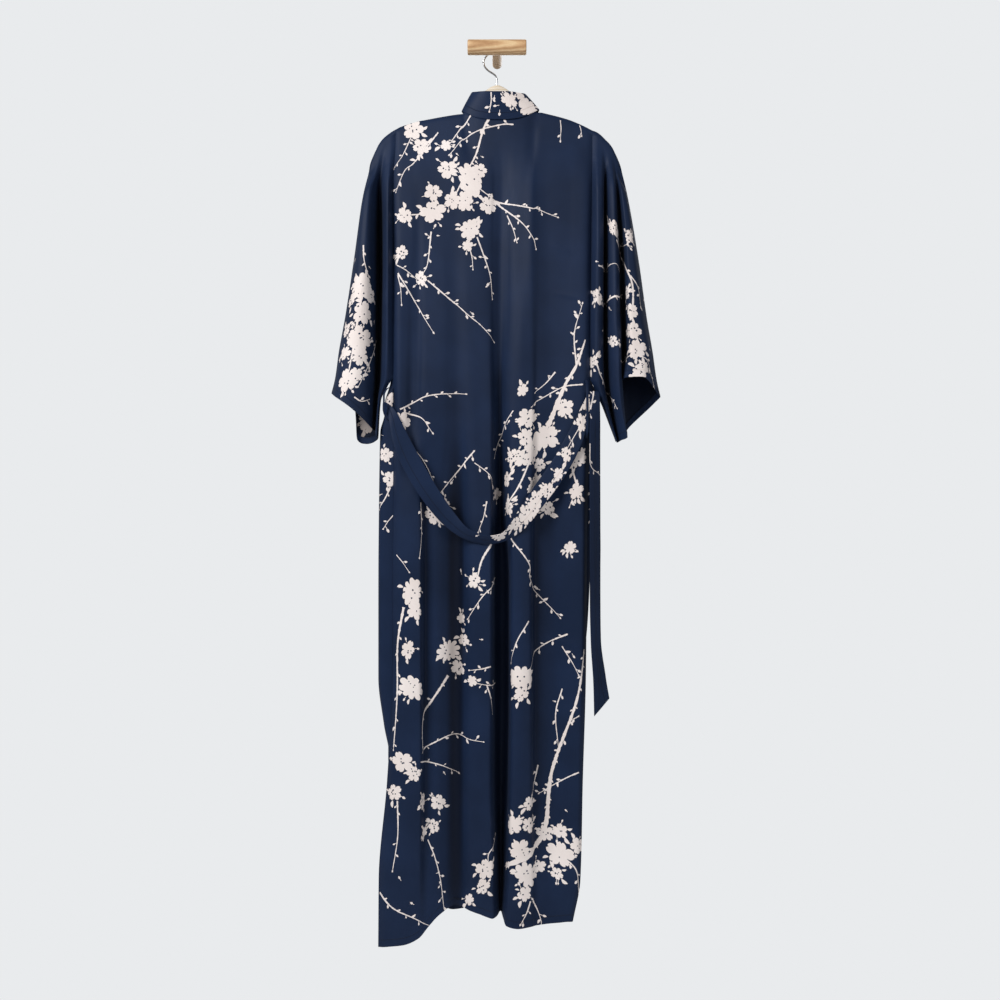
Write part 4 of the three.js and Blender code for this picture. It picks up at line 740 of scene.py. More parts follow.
class Motif:
    """Outlines of the print's flowers, buds, leaves and twigs, drawn from a seeded hand."""

    PETALS = 5

    def __init__(self, seed: int) -> None:
        """Starts the hand at a seed."""
        self.hand = np.random.default_rng(seed)

    def blossom(self, centre: np.ndarray, radius: float) -> np.ndarray:
        """An open flower with five notched petals, tilted a little."""
        phase = np.array([-0.5, -0.44, -0.36, -0.27, -0.18, -0.1, -0.045, 0.0,
                          0.045, 0.1, 0.18, 0.27, 0.36, 0.44])
        sizes = self.hand.uniform(0.86, 1.08, self.PETALS)
        steps = np.arange(self.PETALS)[:, None] + 0.5 + phase[None]
        notch = 0.15 * np.exp(-((phase / 0.05) ** 2))
        body = 0.56 + 0.44 * np.cos(np.pi * phase) ** 0.55
        r = radius * sizes[:, None] * (body - notch)[None]
        angle = steps.ravel() * TAU / self.PETALS + self.hand.uniform(0, TAU)
        return self.tilted(centre, r.ravel(), angle)

    def tilted(self, centre: np.ndarray, r: np.ndarray, angle: np.ndarray) -> np.ndarray:
        """A polar outline, narrowed a little along a random direction as a turned flower is."""
        lean = self.hand.uniform(0, math.pi)
        narrow = self.hand.uniform(0.78, 1.0)
        x, y = r * np.cos(angle), r * np.sin(angle)
        u = x * math.cos(lean) + y * math.sin(lean)
        v = (-x * math.sin(lean) + y * math.cos(lean)) * narrow
        return centre + np.column_stack([u * math.cos(lean) - v * math.sin(lean),
                                         u * math.sin(lean) + v * math.cos(lean)])

    def ragged(self, centre: np.ndarray, radius: float) -> np.ndarray:
        """A crowded flower head seen from the side, with uneven petal tips."""
        lobes = int(self.hand.integers(8, 12))
        angle = np.linspace(0, TAU, lobes * 6, endpoint=False)
        wave = np.abs(np.sin(angle * lobes / 2)) ** 0.6
        depth = self.hand.uniform(0.14, 0.42, lobes)[(np.arange(len(angle)) // 6) % lobes]
        wide = 1 + 0.16 * np.cos(2 * (angle - self.hand.uniform(0, TAU)))
        r = radius * wide * (1 - depth + depth * wave)
        return self.tilted(centre, r, angle)

    def bud(self, root: np.ndarray, heading: float, size: float) -> list:
        """A drop-shaped bud on a short stalk."""
        along = np.array([math.cos(heading), math.sin(heading)])
        side = np.array([-along[1], along[0]])
        stalk = size * self.hand.uniform(0.8, 2.0)
        tip = root + along * stalk
        t = np.linspace(0, TAU, 12, endpoint=False)
        wide = 0.62 * np.sin(t) * (1 - 0.25 * np.cos(t))
        drop = tip + along * size * (1 + np.cos(t))[:, None] + side * size * wide[:, None]
        half = side * max(0.45, size * 0.16)
        return [np.array([root - half, tip - half, tip + half, root + half]), drop]

    def speck(self, centre: np.ndarray, size: float) -> np.ndarray:
        """A dark anther, a small oval left free of the print."""
        t = np.linspace(0, TAU, 8, endpoint=False)
        return self.tilted(centre, np.full(len(t), size), t)

    def leaf(self, root: np.ndarray, heading: float, size: float) -> np.ndarray:
        """A small pointed leaf."""
        along = np.array([math.cos(heading), math.sin(heading)])
        side = np.array([-along[1], along[0]])
        t = np.linspace(0, 1, 7)
        wide = 0.22 * np.sin(np.pi * t) ** 0.8
        bow = 0.12 * np.sin(np.pi * t)
        upper = root + size * (along * t[:, None] + side * (bow + wide)[:, None])
        lower = root + size * (along * t[:, None] + side * (bow - wide)[:, None])
        return np.concatenate([upper, lower[-2:0:-1]])

    def stroke(self, knots: np.ndarray, start: float, end: float) -> tuple:
        """A tapering, slightly knobbly stroke through knots.

        Args:
            knots: points on the bolt.
            start: width at its root.
            end: width at its tip.

        Returns:
            The outline, and the middle line with its headings.
        """
        line = rounded(knots, 3.0)
        ahead = np.gradient(line, axis=0)
        ahead /= np.maximum(np.linalg.norm(ahead, axis=1, keepdims=True), 1e-9)
        side = np.column_stack([-ahead[:, 1], ahead[:, 0]])
        share = np.linspace(0, 1, len(line))
        width = start + (end - start) * share
        width = width * (1 + 0.16 * self.hand.standard_normal(len(line)).clip(-1.5, 1.5))
        half = side * np.maximum(width, 0.7)[:, None] / 2
        outline = np.concatenate([line + half, (line - half)[::-1]])
        return outline, line, np.arctan2(ahead[:, 1], ahead[:, 0])


def rounded(knots: np.ndarray, step: float) -> np.ndarray:
    """A smooth line through knots.

    Args:
        knots: points that it passes.
        step: about how far apart its points lie.

    Returns:
        The line's points.
    """
    knots = np.asarray(knots, float)
    if len(knots) == 2:
        middle = knots.mean(axis=0) + 0.04 * np.array([knots[1, 1] - knots[0, 1], knots[0, 0] - knots[1, 0]])
        knots = np.array([knots[0], middle, knots[1]])
    ends = np.concatenate([[2 * knots[0] - knots[1]], knots, [2 * knots[-1] - knots[-2]]])
    out = [knots[0]]
    for a, b, c, d in zip(ends[:-3], ends[1:-2], ends[2:-1], ends[3:]):
        count = max(2, round(float(np.linalg.norm(c - b)) / step))
        for t in np.linspace(0, 1, count + 1)[1:]:
            out.append(0.5 * (2 * b + (c - a) * t + (2 * a - 5 * b + 4 * c - d) * t * t
                              + (3 * b - a - 3 * c + d) * t**3))
    return np.array(out)


@dataclass(frozen=True)
class Spray:
    """One cloth's share of the print.

    Places and flower radii are pixels of the photograph, and stroke widths are mm.
    """

    branches: tuple = ()
    blossoms: tuple = ()
    heads: tuple = ()
    buds: tuple = ()


THICK, BRANCH, TWIG, HAIR = (2.6, 8.4), (4.6, 2.0), (2.6, 1.0), (1.8, 0.8)

# The print's layout, read from the photograph: each stroke's taper, then the places that it passes
BACK_SPRAY = Spray(
    branches=(
        (BRANCH, ((489, 118), (484, 128), (476, 150), (467, 169))),
        (TWIG, ((514, 123), (498, 124), (470, 135), (452, 152))),
        (TWIG, ((471, 114), (457, 130), (449, 144))),
        (TWIG, ((437, 132), (415, 160), (405, 170), (395, 190))),
        (HAIR, ((414, 135), (402, 155), (394, 166))),
        (TWIG, ((497, 202), (527, 206), (556, 216))),
        (TWIG, ((495, 200), (520, 220), (534, 237), (537, 247))),
        (HAIR, ((506, 215), (515, 241))),
        (TWIG, ((434, 212), (405, 216), (396, 220))),
        (TWIG, ((432, 230), (427, 262), (420, 277))),
        (TWIG, ((477, 237), (490, 272), (493, 297))),
        (HAIR, ((472, 250), (473, 266))),
        (HAIR, ((395, 265), (417, 277))),
        (TWIG, ((427, 280), (455, 301), (482, 324), (494, 341))),
        (TWIG, ((397, 272), (412, 295), (431, 329))),
        (HAIR, ((397, 274), (401, 300))),
        (TWIG, ((467, 169), (478, 185), (497, 202))),
        (TWIG, ((467, 169), (452, 200), (434, 212))),
        (HAIR, ((560, 120), (561, 138))),
        (HAIR, ((581, 126), (582, 134))),
        (THICK, ((586, 340), (575, 365), (565, 385), (549, 427))),
        (TWIG, ((575, 365), (573, 332), (581, 306))),
        (TWIG, ((585, 384), (560, 387), (535, 405))),
        (TWIG, ((554, 370), (537, 392))),
        (HAIR, ((512, 410), (500, 437), (496, 455))),
        (TWIG, ((572, 467), (575, 487), (570, 505))),
        (BRANCH, ((549, 427), (535, 447), (515, 490), (505, 512))),
        (TWIG, ((400, 408), (427, 396), (464, 394))),
        (TWIG, ((405, 412), (420, 418), (431, 432))),
        (HAIR, ((409, 442), (425, 462), (437, 487))),
        (TWIG, ((475, 450), (460, 467), (441, 495))),
        (HAIR, ((474, 462), (490, 475), (494, 485))),
        (TWIG, ((485, 502), (479, 530))),
        (TWIG, ((422, 502), (421, 555))),
        (HAIR, ((395, 555), (406, 571))),
        (BRANCH, ((493, 543), (482, 560), (475, 580))),
        (TWIG, ((496, 577), (485, 592), (467, 617))),
        (TWIG, ((492, 666), (470, 670))),
        (HAIR, ((496, 682), (467, 682))),
        (TWIG, ((485, 685), (492, 697), (494, 712))),
        (BRANCH, ((450, 675), (430, 702), (424, 722), (424, 750))),
        (TWIG, ((510, 537), (531, 565), (532, 580), (557, 617))),
        (TWIG, ((530, 621), (517, 637), (510, 660))),
        (TWIG, ((567, 634), (550, 642), (537, 650), (532, 667))),
        (HAIR, ((562, 646), (572, 662), (577, 675))),
        (BRANCH, ((402, 607), (396, 645), (396, 690), (392, 747))),
        (TWIG, ((425, 750), (455, 734), (480, 741))),
        (TWIG, ((422, 762), (437, 762), (456, 771))),
        (TWIG, ((396, 800), (397, 835), (392, 867))),
        (TWIG, ((429, 840), (436, 860), (445, 907))),
        (TWIG, ((377, 891), (397, 912), (430, 925))),
        (THICK, ((585, 650), (575, 702), (552, 767), (541, 837), (505, 865))),
        (TWIG, ((581, 717), (571, 720))),
        (TWIG, ((561, 690), (556, 712), (559, 747))),
        (TWIG, ((580, 772), (565, 776), (542, 792))),
        (TWIG, ((539, 765), (534, 795))),
        (TWIG, ((497, 832), (490, 852), (487, 865))),
        (TWIG, ((532, 902), (522, 922))),
        (TWIG, ((534, 900), (542, 925))),
        (TWIG, ((560, 854), (575, 868), (582, 890))),
    ),
    blossoms=(
        (446, 146, 6), (422, 146, 9), (414, 129, 10), (449, 167, 11), (480, 170, 8), (465, 202, 10),
        (452, 200, 9), (434, 192, 9), (434, 212, 13), (405, 216, 8), (490, 205, 9), (467, 245, 6),
        (401, 251, 7), (420, 279, 8), (564, 406, 9), (521, 390, 6), (529, 417, 11), (527, 437, 9),
        (546, 437, 13), (522, 457, 10), (515, 455, 7), (510, 457, 7), (540, 465, 7), (507, 507, 9),
        (560, 465, 7), (576, 492, 8), (402, 422, 11), (446, 505, 6), (432, 515, 10), (474, 580, 8),
        (460, 617, 6), (464, 640, 8), (459, 667, 8), (470, 682, 6), (522, 695, 9), (416, 610, 10),
        (406, 651, 9), (400, 760, 12), (414, 774, 8), (392, 792, 9), (424, 800, 8), (440, 802, 9),
        (435, 825, 7), (426, 832, 5), (531, 803, 7), (531, 825, 8), (512, 827, 10), (520, 852, 10),
        (546, 832, 9), (561, 831, 8), (560, 854, 14), (557, 872, 7), (580, 847, 8), (540, 867, 8),
        (526, 895, 8), (484, 870, 11), (482, 887, 8), (467, 900, 6), (505, 480, 8), (498, 495, 7),
        (548, 508, 8), (570, 548, 6),
    ),
    heads=(
        (471, 180, 15), (472, 230, 11), (535, 447, 12), (575, 460, 9), (449, 650, 11), (411, 592, 12),
        (411, 687, 13), (522, 677, 12), (527, 875, 12), (535, 485, 9),
    ),
    buds=(
        (434, 228), (430, 235), (440, 235), (479, 156), (460, 155), (421, 197), (527, 206), (540, 210),
        (515, 240), (486, 257), (490, 285), (455, 301), (470, 312), (406, 285), (424, 318), (574, 330),
        (578, 316), (505, 425), (500, 440), (550, 380), (461, 575), (488, 590), (566, 812), (545, 600),
        (540, 590), (478, 640), (445, 775), (400, 880), (440, 885), (436, 872), (552, 700), (548, 790),
        (572, 655), (415, 905), (470, 925), (455, 480),
    ),
)
SLEEVE_SPRAYS = {
    Side.LEFT: Spray(
        branches=(
            (TWIG, ((355, 396), (362, 400), (370, 400))),
            (BRANCH, ((368, 270), (358, 310), (352, 350), (346, 385))),
            (TWIG, ((362, 245), (366, 262), (372, 285))),
            (TWIG, ((378, 340), (372, 360), (360, 385))),
        ),
        blossoms=((365, 312, 12), (355, 335, 10), (364, 340, 12), (345, 330, 7), (361, 355, 9),
                  (347, 380, 12), (357, 375, 8), (350, 300, 8), (372, 296, 8), (344, 352, 8)),
        heads=((360, 285, 14),),
        buds=((372, 268), (350, 262), (375, 325), (341, 362), (368, 372)),
    ),
    Side.RIGHT: Spray(
        branches=(
            (BRANCH, ((605, 300), (614, 296), (622, 295))),
            (TWIG, ((599, 266), (610, 264), (620, 270))),
            (TWIG, ((632, 275), (640, 290), (642, 305))),
            (TWIG, ((622, 360), (640, 357), (652, 375), (653, 388))),
            (BRANCH, ((618, 240), (628, 275), (634, 320), (640, 350))),
            (TWIG, ((606, 215), (616, 232), (630, 245))),
            (TWIG, ((597, 366), (604, 380), (611, 398), (615, 407))),
        ),
        blossoms=((615, 227, 9), (630, 235, 7), (596, 297, 8), (630, 310, 8), (632, 330, 11), (637, 350, 10),
                  (626, 292, 7), (645, 366, 7), (612, 340, 7), (591, 361, 8)),
        heads=((638, 372, 8),),
        buds=((600, 262), (622, 262), (645, 300), (610, 310), (604, 330), (650, 345)),
    ),
}
BAND_SPRAY = Spray(
    branches=((TWIG, ((490, 91), (489, 110))), (TWIG, ((505, 92), (516, 108)))),
    blossoms=((511, 99, 8), (521, 96, 6), (528, 107, 9), (533, 112, 7)),
    buds=((499, 104), (494, 96), (499, 110)),
)
BELT_SPRAY = Spray(
    branches=((TWIG, ((590, 410), (580, 425), (566, 450))), (TWIG, ((560, 468), (548, 488), (530, 508))),
              (TWIG, ((591, 444), (592, 465), (600, 474)))),
    blossoms=((580, 422, 8), (549, 490, 8), (527, 514, 10), (567, 455, 7), (538, 500, 8), (586, 404, 7),
              (516, 524, 7), (558, 474, 6)),
    heads=((500, 536, 9), (533, 508, 9)),
    buds=((572, 440), (556, 476), (516, 526), (478, 536), (590, 415)),
)
STRIP_SPRAYS = {
    Side.LEFT: Spray(
        branches=((TWIG, ((391, 486), (385, 498), (379, 508))), (HAIR, ((392, 514), (385, 527)))),
        blossoms=((388, 400, 8), (385, 455, 8), (389, 477, 8)),
        buds=((382, 436), (382, 493)),
    ),
    Side.RIGHT: Spray(
        branches=((TWIG, ((592, 420), (594, 470), (592, 520))),),
        blossoms=((593, 452, 6),),
    ),
}


@dataclass
class Print:
    """The cream blossom print on one cloth, as outlines on the bolt."""

    sheet: Sheet
    seed: int
    shapes: list = field(default_factory=list)
    specks: list = field(default_factory=list)

    def __post_init__(self) -> None:
        """Takes up the drawing hand."""
        self.motif = Motif(self.seed)
        self.scale = -EYE[1] / FOCAL_PX * 1.05

    def place(self, spray: Spray) -> None:
        """Draws a spray where the photograph shows it."""
        for (start, end), knots in spray.branches:
            self.twig(np.array([self.sheet.spot(*k) for k in knots]), start, end)
        for flowers, draw in ((spray.blossoms, self.motif.blossom), (spray.heads, self.motif.ragged)):
            for x, y, radius in flowers:
                centre = self.sheet.spot(x, y)
                self.shapes.append(draw(centre, radius * self.scale))
                self.fringe(centre, radius * self.scale)
        for x, y in spray.buds:
            size = self.motif.hand.uniform(2.0, 3.2)
            self.shapes += self.motif.bud(self.sheet.spot(x, y), self.motif.hand.uniform(0, TAU), size)

    def fringe(self, centre: np.ndarray, radius: float) -> None:
        """Sets a few leaves and stalked buds round a flower's rim, and dark anthers in a wide one's middle.

        Args:
            centre: the flower's place on the bolt.
            radius: its radius in mm.
        """
        hand = self.motif.hand
        if radius > 12:
            for _ in range(int(hand.integers(2, 6))):
                anther = centre + hand.normal(0, radius * 0.22, 2)
                self.specks.append(self.motif.speck(anther, hand.uniform(0.9, 1.7)))
        for _ in range(int(hand.integers(3, 7))):
            heading = hand.uniform(0, TAU)
            rim = centre + radius * 0.8 * np.array([math.cos(heading), math.sin(heading)])
            heading += hand.uniform(-0.5, 0.5)
            if hand.uniform() < 0.55:
                self.shapes.append(self.motif.leaf(rim, heading, hand.uniform(7, 14)))
            else:
                self.shapes += self.motif.bud(rim, heading, hand.uniform(1.8, 3.2))

    def twig(self, knots: np.ndarray, start: float, end: float) -> None:
        """Draws a stroke with a bud at its tip, and buds and leaves along it on both sides by turns.

        Args:
            knots: points on the bolt.
            start: width at its root.
            end: width at its tip.
        """
        outline, line, headings = self.motif.stroke(knots, start, end)
        self.shapes.append(outline)
        hand = self.motif.hand
        spacing = 14.0 if start < 4 else 26.0
        along = hand.uniform(0.3, 1.0) * spacing
        turn = 1 if hand.uniform() < 0.5 else -1
        gone = np.concatenate([[0], np.cumsum(np.linalg.norm(np.diff(line, axis=0), axis=1))])
        while along < gone[-1]:
            k = int(np.searchsorted(gone, along))
            heading = headings[k] + turn * hand.uniform(0.5, 1.1)
            kind = hand.uniform()
            if kind < 0.7:
                self.shapes += self.motif.bud(line[k], heading, hand.uniform(1.7, 3.5))
            elif kind < 0.85:
                self.shapes.append(self.motif.leaf(line[k], heading, hand.uniform(6, 11)))
            turn = -turn
            along += spacing * hand.uniform(0.6, 1.5)
        tip = hand.uniform(1.4, 2.4)
        self.shapes += self.motif.bud(line[-1], headings[-1], tip)

    def grow(self, count: int, within: tuple = (0.0, 1.0)) -> None:
        """Grows sprays of the same kind where the photograph doesn't look.

        Args:
            count: how many sprays.
            within: the share of the cloth's height that they start in.
        """
        hand = self.motif.hand
        lo, hi, tall = self.sheet.across.min(), self.sheet.across.max(), self.sheet.down.max()
        for k in range(count):
            share = within[0] + (within[1] - within[0]) * (k + hand.uniform(0.1, 0.9)) / count
            root = np.array([hand.uniform(lo, hi), share * tall])
            self.spray_from(root, hand.uniform(-2.4, -0.7), hand.uniform(110, 210))

    def spray_from(self, root: np.ndarray, heading: float, length: float) -> None:
        """Draws a branch with side twigs and blossoms gathered along it.

        Args:
            root: where it starts on the bolt.
            heading: which way it starts, in radians.
            length: the branch's length in mm.
        """
        hand = self.motif.hand
        knots = [root]
        for _ in range(4):
            heading += hand.uniform(-0.45, 0.45)
            knots.append(knots[-1] + length / 4 * np.array([math.cos(heading), math.sin(heading)]))
        self.twig(np.array(knots), *BRANCH)
        for knot in knots[1:]:
            side = heading + hand.choice([-1, 1]) * hand.uniform(0.5, 1.2)
            reach = length * hand.uniform(0.25, 0.5)
            middle = knot + reach / 2 * np.array([math.cos(side), math.sin(side)])
            side += hand.uniform(-0.4, 0.4)
            tip = middle + reach / 2 * np.array([math.cos(side), math.sin(side)])
            self.twig(np.array([knot, middle, tip]), *TWIG)
            for _ in range(hand.integers(1, 4)):
                at = knot + hand.normal(0, 15, 2)
                draw = self.motif.ragged if hand.uniform() < 0.2 else self.motif.blossom
                radius = hand.uniform(11, 22)
                self.shapes.append(draw(at, radius))
                self.fringe(at, radius)


def linear(hex_colour: str) -> tuple:
    """An sRGB hex colour as linear RGBA."""
    parts = [int(hex_colour[i:i + 2], 16) / 255 for i in (1, 3, 5)]
    return tuple(c / 12.92 if c <= 0.04045 else ((c + 0.055) / 1.055) ** 2.4 for c in parts) + (1.0,)


def add_node(tree: bpy.types.NodeTree, kind: str, inputs: dict | None = None,
             **settings: object) -> bpy.types.Node:
    """Adds a node.

    Args:
        tree: the material's or world's nodes.
        kind: the node's type.
        inputs: values, or sockets to link, by input name or number.
        settings: the node's own properties.

    Returns:
        The node.
    """
    made = tree.nodes.new(kind)
    for key, value in settings.items():
        setattr(made, key, value)
    for socket, value in (inputs or {}).items():
        if isinstance(value, bpy.types.NodeSocket):
            tree.links.new(value, made.inputs[socket])
        else:
            made.inputs[socket].default_value = value
    return made


def ramp(node: bpy.types.Node, stops: list) -> bpy.types.NodeSocket:
    """Sets a colour ramp's stops, given as place and colour, and returns its colour output."""
    band = node.color_ramp
    while len(band.elements) > len(stops):
        band.elements.remove(band.elements[-1])
    while len(band.elements) < len(stops):
        band.elements.new(0.5)
    for element, (place, colour) in zip(band.elements, stops):
        element.position = place
        element.color = colour
    return node.outputs["Color"]


def blank(name: str) -> tuple:
    """A new material with an empty node tree and its output node."""
    material = bpy.data.materials.new(name)
    material.use_nodes = True
    material.node_tree.nodes.clear()
    return material, material.node_tree, add_node(material.node_tree, "ShaderNodeOutputMaterial")


@dataclass(frozen=True)
class PrintedSatin:
    """Polyester satin, woven with long warp floats and dyed or printed.

    It is smooth, with a soft lustre along the folds, and painted shade darkens its colour deep in the folds'
    valleys and on its wrong side.
    """

    name: str
    colour: str
    deep: str
    # colour of the painted shade deep in the folds' valleys and on the wrong side
    painted_valley_shade: str
    roughness: float
    lustre: float
    # how far the painted valley shade goes at most
    shade: float

    # real threads lie 0.09 mm apart, drawn 9 times coarser so that they show
    THREAD_MM = 0.8
    STITCH_MM = 2.6
    STITCH_FROM_EDGE_MM = 11.5
    # how far the side against the wearer is darkened towards the painted valley shade: partly its duller
    # reverse, partly painted shade inside the sleeves
    WRONG_SIDE_SHADE = 0.72
    # depths of a fold's valley at which its painted shade starts and stops
    PAINTED_SHADE_VALLEY_MM = (1.5, 11.0)

    def make(self) -> bpy.types.Material:
        """Builds the material."""
        material, tree, out = blank(self.name)
        bolt = add_node(tree, "ShaderNodeUVMap", uv_map="bolt").outputs["UV"]
        cloudy = add_node(tree, "ShaderNodeTexNoise", {"Vector": bolt, "Scale": 9.0, "Detail": 3.0})
        floats = add_node(tree, "ShaderNodeMapping", {
            "Vector": bolt, "Scale": (1 / (self.THREAD_MM * MM), 26.0, 1.0)})
        warp = add_node(tree, "ShaderNodeTexNoise", {
            "Vector": floats.outputs[0], "Scale": 1.0, "Detail": 2.0})
        tint = ramp(add_node(tree, "ShaderNodeValToRGB", {"Fac": cloudy.outputs["Fac"]}),
                    [(0.36, linear(self.deep)), (0.64, linear(self.colour))])
        line, dash = self.stitches(tree, bolt)
        thread = add_node(tree, "ShaderNodeMath", {0: line, 1: dash}, operation="MULTIPLY").outputs[0]
        # painted shade: the tint is darkened all along the stitch line, as in its pressed-in groove
        stitch_groove_shade = add_node(tree, "ShaderNodeMath", {0: line, 1: 0.35}, operation="MULTIPLY").outputs[0]
        stitch_shaded_tint = add_node(tree, "ShaderNodeMixRGB", {
            "Fac": stitch_groove_shade, "Color1": tint, "Color2": linear(self.deep)}, blend_type="MULTIPLY").outputs[0]
        # painted shade: the colour is mixed towards the painted valley-shade colour where the cloth lies deep
        # behind the folds beside it
        painted_valley_shade = add_node(tree, "ShaderNodeAttribute", attribute_name="painted_shade_valley_mm").outputs["Fac"]
        hidden = add_node(tree, "ShaderNodeMapRange", {
            "Value": painted_valley_shade, "From Min": self.PAINTED_SHADE_VALLEY_MM[0], "From Max": self.PAINTED_SHADE_VALLEY_MM[1],
            "To Max": self.shade},
            interpolation_type="SMOOTHSTEP").outputs[0]
        shaded = add_node(tree, "ShaderNodeMixRGB", {
            "Fac": hidden, "Color1": stitch_shaded_tint, "Color2": linear(self.painted_valley_shade)})
        # the wrong side mixed towards the painted valley-shade colour: partly the cloth's duller reverse,
        # partly painted shade
        wrong_side = add_node(tree, "ShaderNodeNewGeometry").outputs["Backfacing"]
        wrong_side_dull_and_shade = add_node(tree, "ShaderNodeMath", {
            0: wrong_side, 1: self.WRONG_SIDE_SHADE}, operation="MULTIPLY").outputs[0]
        shaded = add_node(tree, "ShaderNodeMixRGB", {
            "Fac": wrong_side_dull_and_shade, "Color1": shaded.outputs[0], "Color2": linear(self.painted_valley_shade)})
        rough = add_node(tree, "ShaderNodeMapRange", {
            "Value": warp.outputs["Fac"], "To Min": self.roughness - 0.05, "To Max": self.roughness + 0.07})
        weave = add_node(tree, "ShaderNodeBump", {
            "Height": warp.outputs["Fac"], "Strength": 0.10, "Distance": 0.0004})
        sewn = add_node(tree, "ShaderNodeBump", {
            "Height": thread, "Strength": 0.6, "Distance": 0.0006, "Normal": weave.outputs[0]})
        grain = add_node(tree, "ShaderNodeTangent", direction_type="UV_MAP", uv_map="bolt")
        shader = add_node(tree, "ShaderNodeBsdfPrincipled", {
            "Base Color": shaded.outputs[0], "Roughness": rough.outputs[0], "IOR": 1.54, "Anisotropic": 0.45,
            "Tangent": grain.outputs[0], "Normal": sewn.outputs[0], "Sheen Weight": self.lustre,
            "Sheen Roughness": 0.35, "Specular IOR Level": 0.17})
        tree.links.new(shader.outputs[0], out.inputs[0])
        return material

    def stitches(self, tree: bpy.types.NodeTree, bolt: bpy.types.NodeSocket) -> tuple:
        """The line of stitches that runs beside a hem.

        Args:
            tree: the material's nodes.
            bolt: the place on the bolt.

        Returns:
            Where the line runs, and where a stitch shows along it.
        """
        edge = add_node(tree, "ShaderNodeAttribute", attribute_name="edge_mm").outputs["Fac"]
        off = add_node(tree, "ShaderNodeMath", {
            0: edge, 1: self.STITCH_FROM_EDGE_MM}, operation="SUBTRACT").outputs[0]
        off = add_node(tree, "ShaderNodeMath", {0: off}, operation="ABSOLUTE").outputs[0]
        line = add_node(tree, "ShaderNodeMapRange", {
            "Value": off, "From Min": 1.0, "From Max": 0.3}).outputs[0]
        split = add_node(tree, "ShaderNodeSeparateXYZ", {0: bolt})
        along = add_node(tree, "ShaderNodeMath", {
            0: split.outputs[0], 1: split.outputs[1]}, operation="ADD").outputs[0]
        beat = add_node(tree, "ShaderNodeMath", {
            0: along, 1: TAU / (self.STITCH_MM * MM)}, operation="MULTIPLY").outputs[0]
        wave = add_node(tree, "ShaderNodeMath", {0: beat}, operation="SINE").outputs[0]
        dash = add_node(tree, "ShaderNodeMapRange", {
            "Value": wave, "From Min": -0.8, "From Max": 0.2}).outputs[0]
        return line, dash


@dataclass(frozen=True)
class Beech:
    """Turned beech under a thin clear coat: straight fine grain with short darker flecks along it."""

    name: str
    pale: str
    mid: str
    dark: str
    # growth rings about 2.2 mm apart, flecks about 0.5 mm wide and 6 mm long
    RING_MM = 2.2
    FLECK_MM = (6.0, 0.5)

    def make(self) -> bpy.types.Material:
        """Builds the material, its grain along X."""
        material, tree, out = blank(self.name)
        place = add_node(tree, "ShaderNodeTexCoord").outputs["Object"]
        tilted = add_node(tree, "ShaderNodeMapping", {
            "Vector": place, "Location": (0, 0.021, 0.017), "Rotation": (0.1, 0.03, 0.05)})
        rings = add_node(tree, "ShaderNodeTexWave", {
            "Vector": tilted.outputs[0], "Scale": 0.314 / (self.RING_MM * MM) / 2, "Distortion": 1.6,
            "Detail": 2.0, "Detail Scale": 0.6}, wave_type="RINGS", rings_direction="X")
        stretch = add_node(tree, "ShaderNodeMapping", {
            "Vector": place,
            "Scale": tuple(1 / (v * MM) for v in (self.FLECK_MM[0], self.FLECK_MM[1], self.FLECK_MM[1]))})
        fleck = add_node(tree, "ShaderNodeTexNoise", {
            "Vector": stretch.outputs[0], "Scale": 1.0, "Detail": 2.0})
        grain = add_node(tree, "ShaderNodeMath", {
            0: rings.outputs["Fac"], 1: 0.45}, operation="MULTIPLY").outputs[0]
        flecked = add_node(tree, "ShaderNodeMath", {
            0: fleck.outputs["Fac"], 1: 0.6, 2: grain}, operation="MULTIPLY_ADD")
        colour = ramp(add_node(tree, "ShaderNodeValToRGB", {"Fac": flecked.outputs[0]}),
                      [(0.25, linear(self.pale)), (0.5, linear(self.mid)), (0.85, linear(self.dark))])
        rough = add_node(tree, "ShaderNodeMapRange", {
            "Value": fleck.outputs["Fac"], "To Min": 0.38, "To Max": 0.56})
        bump = add_node(tree, "ShaderNodeBump", {
            "Height": fleck.outputs["Fac"], "Strength": 0.15, "Distance": 0.0003})
        shader = add_node(tree, "ShaderNodeBsdfPrincipled", {
            "Base Color": colour, "Roughness": rough.outputs[0], "Normal": bump.outputs[0], "IOR": 1.5,
            "Coat Weight": 0.25, "Coat Roughness": 0.22})
        tree.links.new(shader.outputs[0], out.inputs[0])
        return material


@dataclass(frozen=True)
class DrawnSteel:
    """Bright drawn steel wire: fine scratches along it, a sharp but not mirror-like shine."""

    name: str
    colour: str

    def make(self) -> bpy.types.Material:
        """Builds the material."""
        material, tree, out = blank(self.name)
        place = add_node(tree, "ShaderNodeTexCoord").outputs["Object"]
        lines = add_node(tree, "ShaderNodeTexNoise", {"Vector": place, "Scale": 900.0, "Detail": 2.0})
        rough = add_node(tree, "ShaderNodeMapRange", {
            "Value": lines.outputs["Fac"], "To Min": 0.16, "To Max": 0.30})
        bump = add_node(tree, "ShaderNodeBump", {
            "Height": lines.outputs["Fac"], "Strength": 0.05, "Distance": 0.0002})
        shader = add_node(tree, "ShaderNodeBsdfPrincipled", {
            "Base Color": linear(self.colour), "Metallic": 1.0, "Roughness": rough.outputs[0],
            "Normal": bump.outputs[0]})
        tree.links.new(shader.outputs[0], out.inputs[0])
        return material


def mesh_object(name: str, points: np.ndarray, faces: list) -> bpy.types.Object:
    """An object in metres from points in mm."""
    mesh = bpy.data.meshes.new(name)
    mesh.from_pydata((points * MM).tolist(), [], faces)
    mesh.update()
    piece = bpy.data.objects.new(name, mesh)
    bpy.context.scene.collection.objects.link(piece)
    return piece


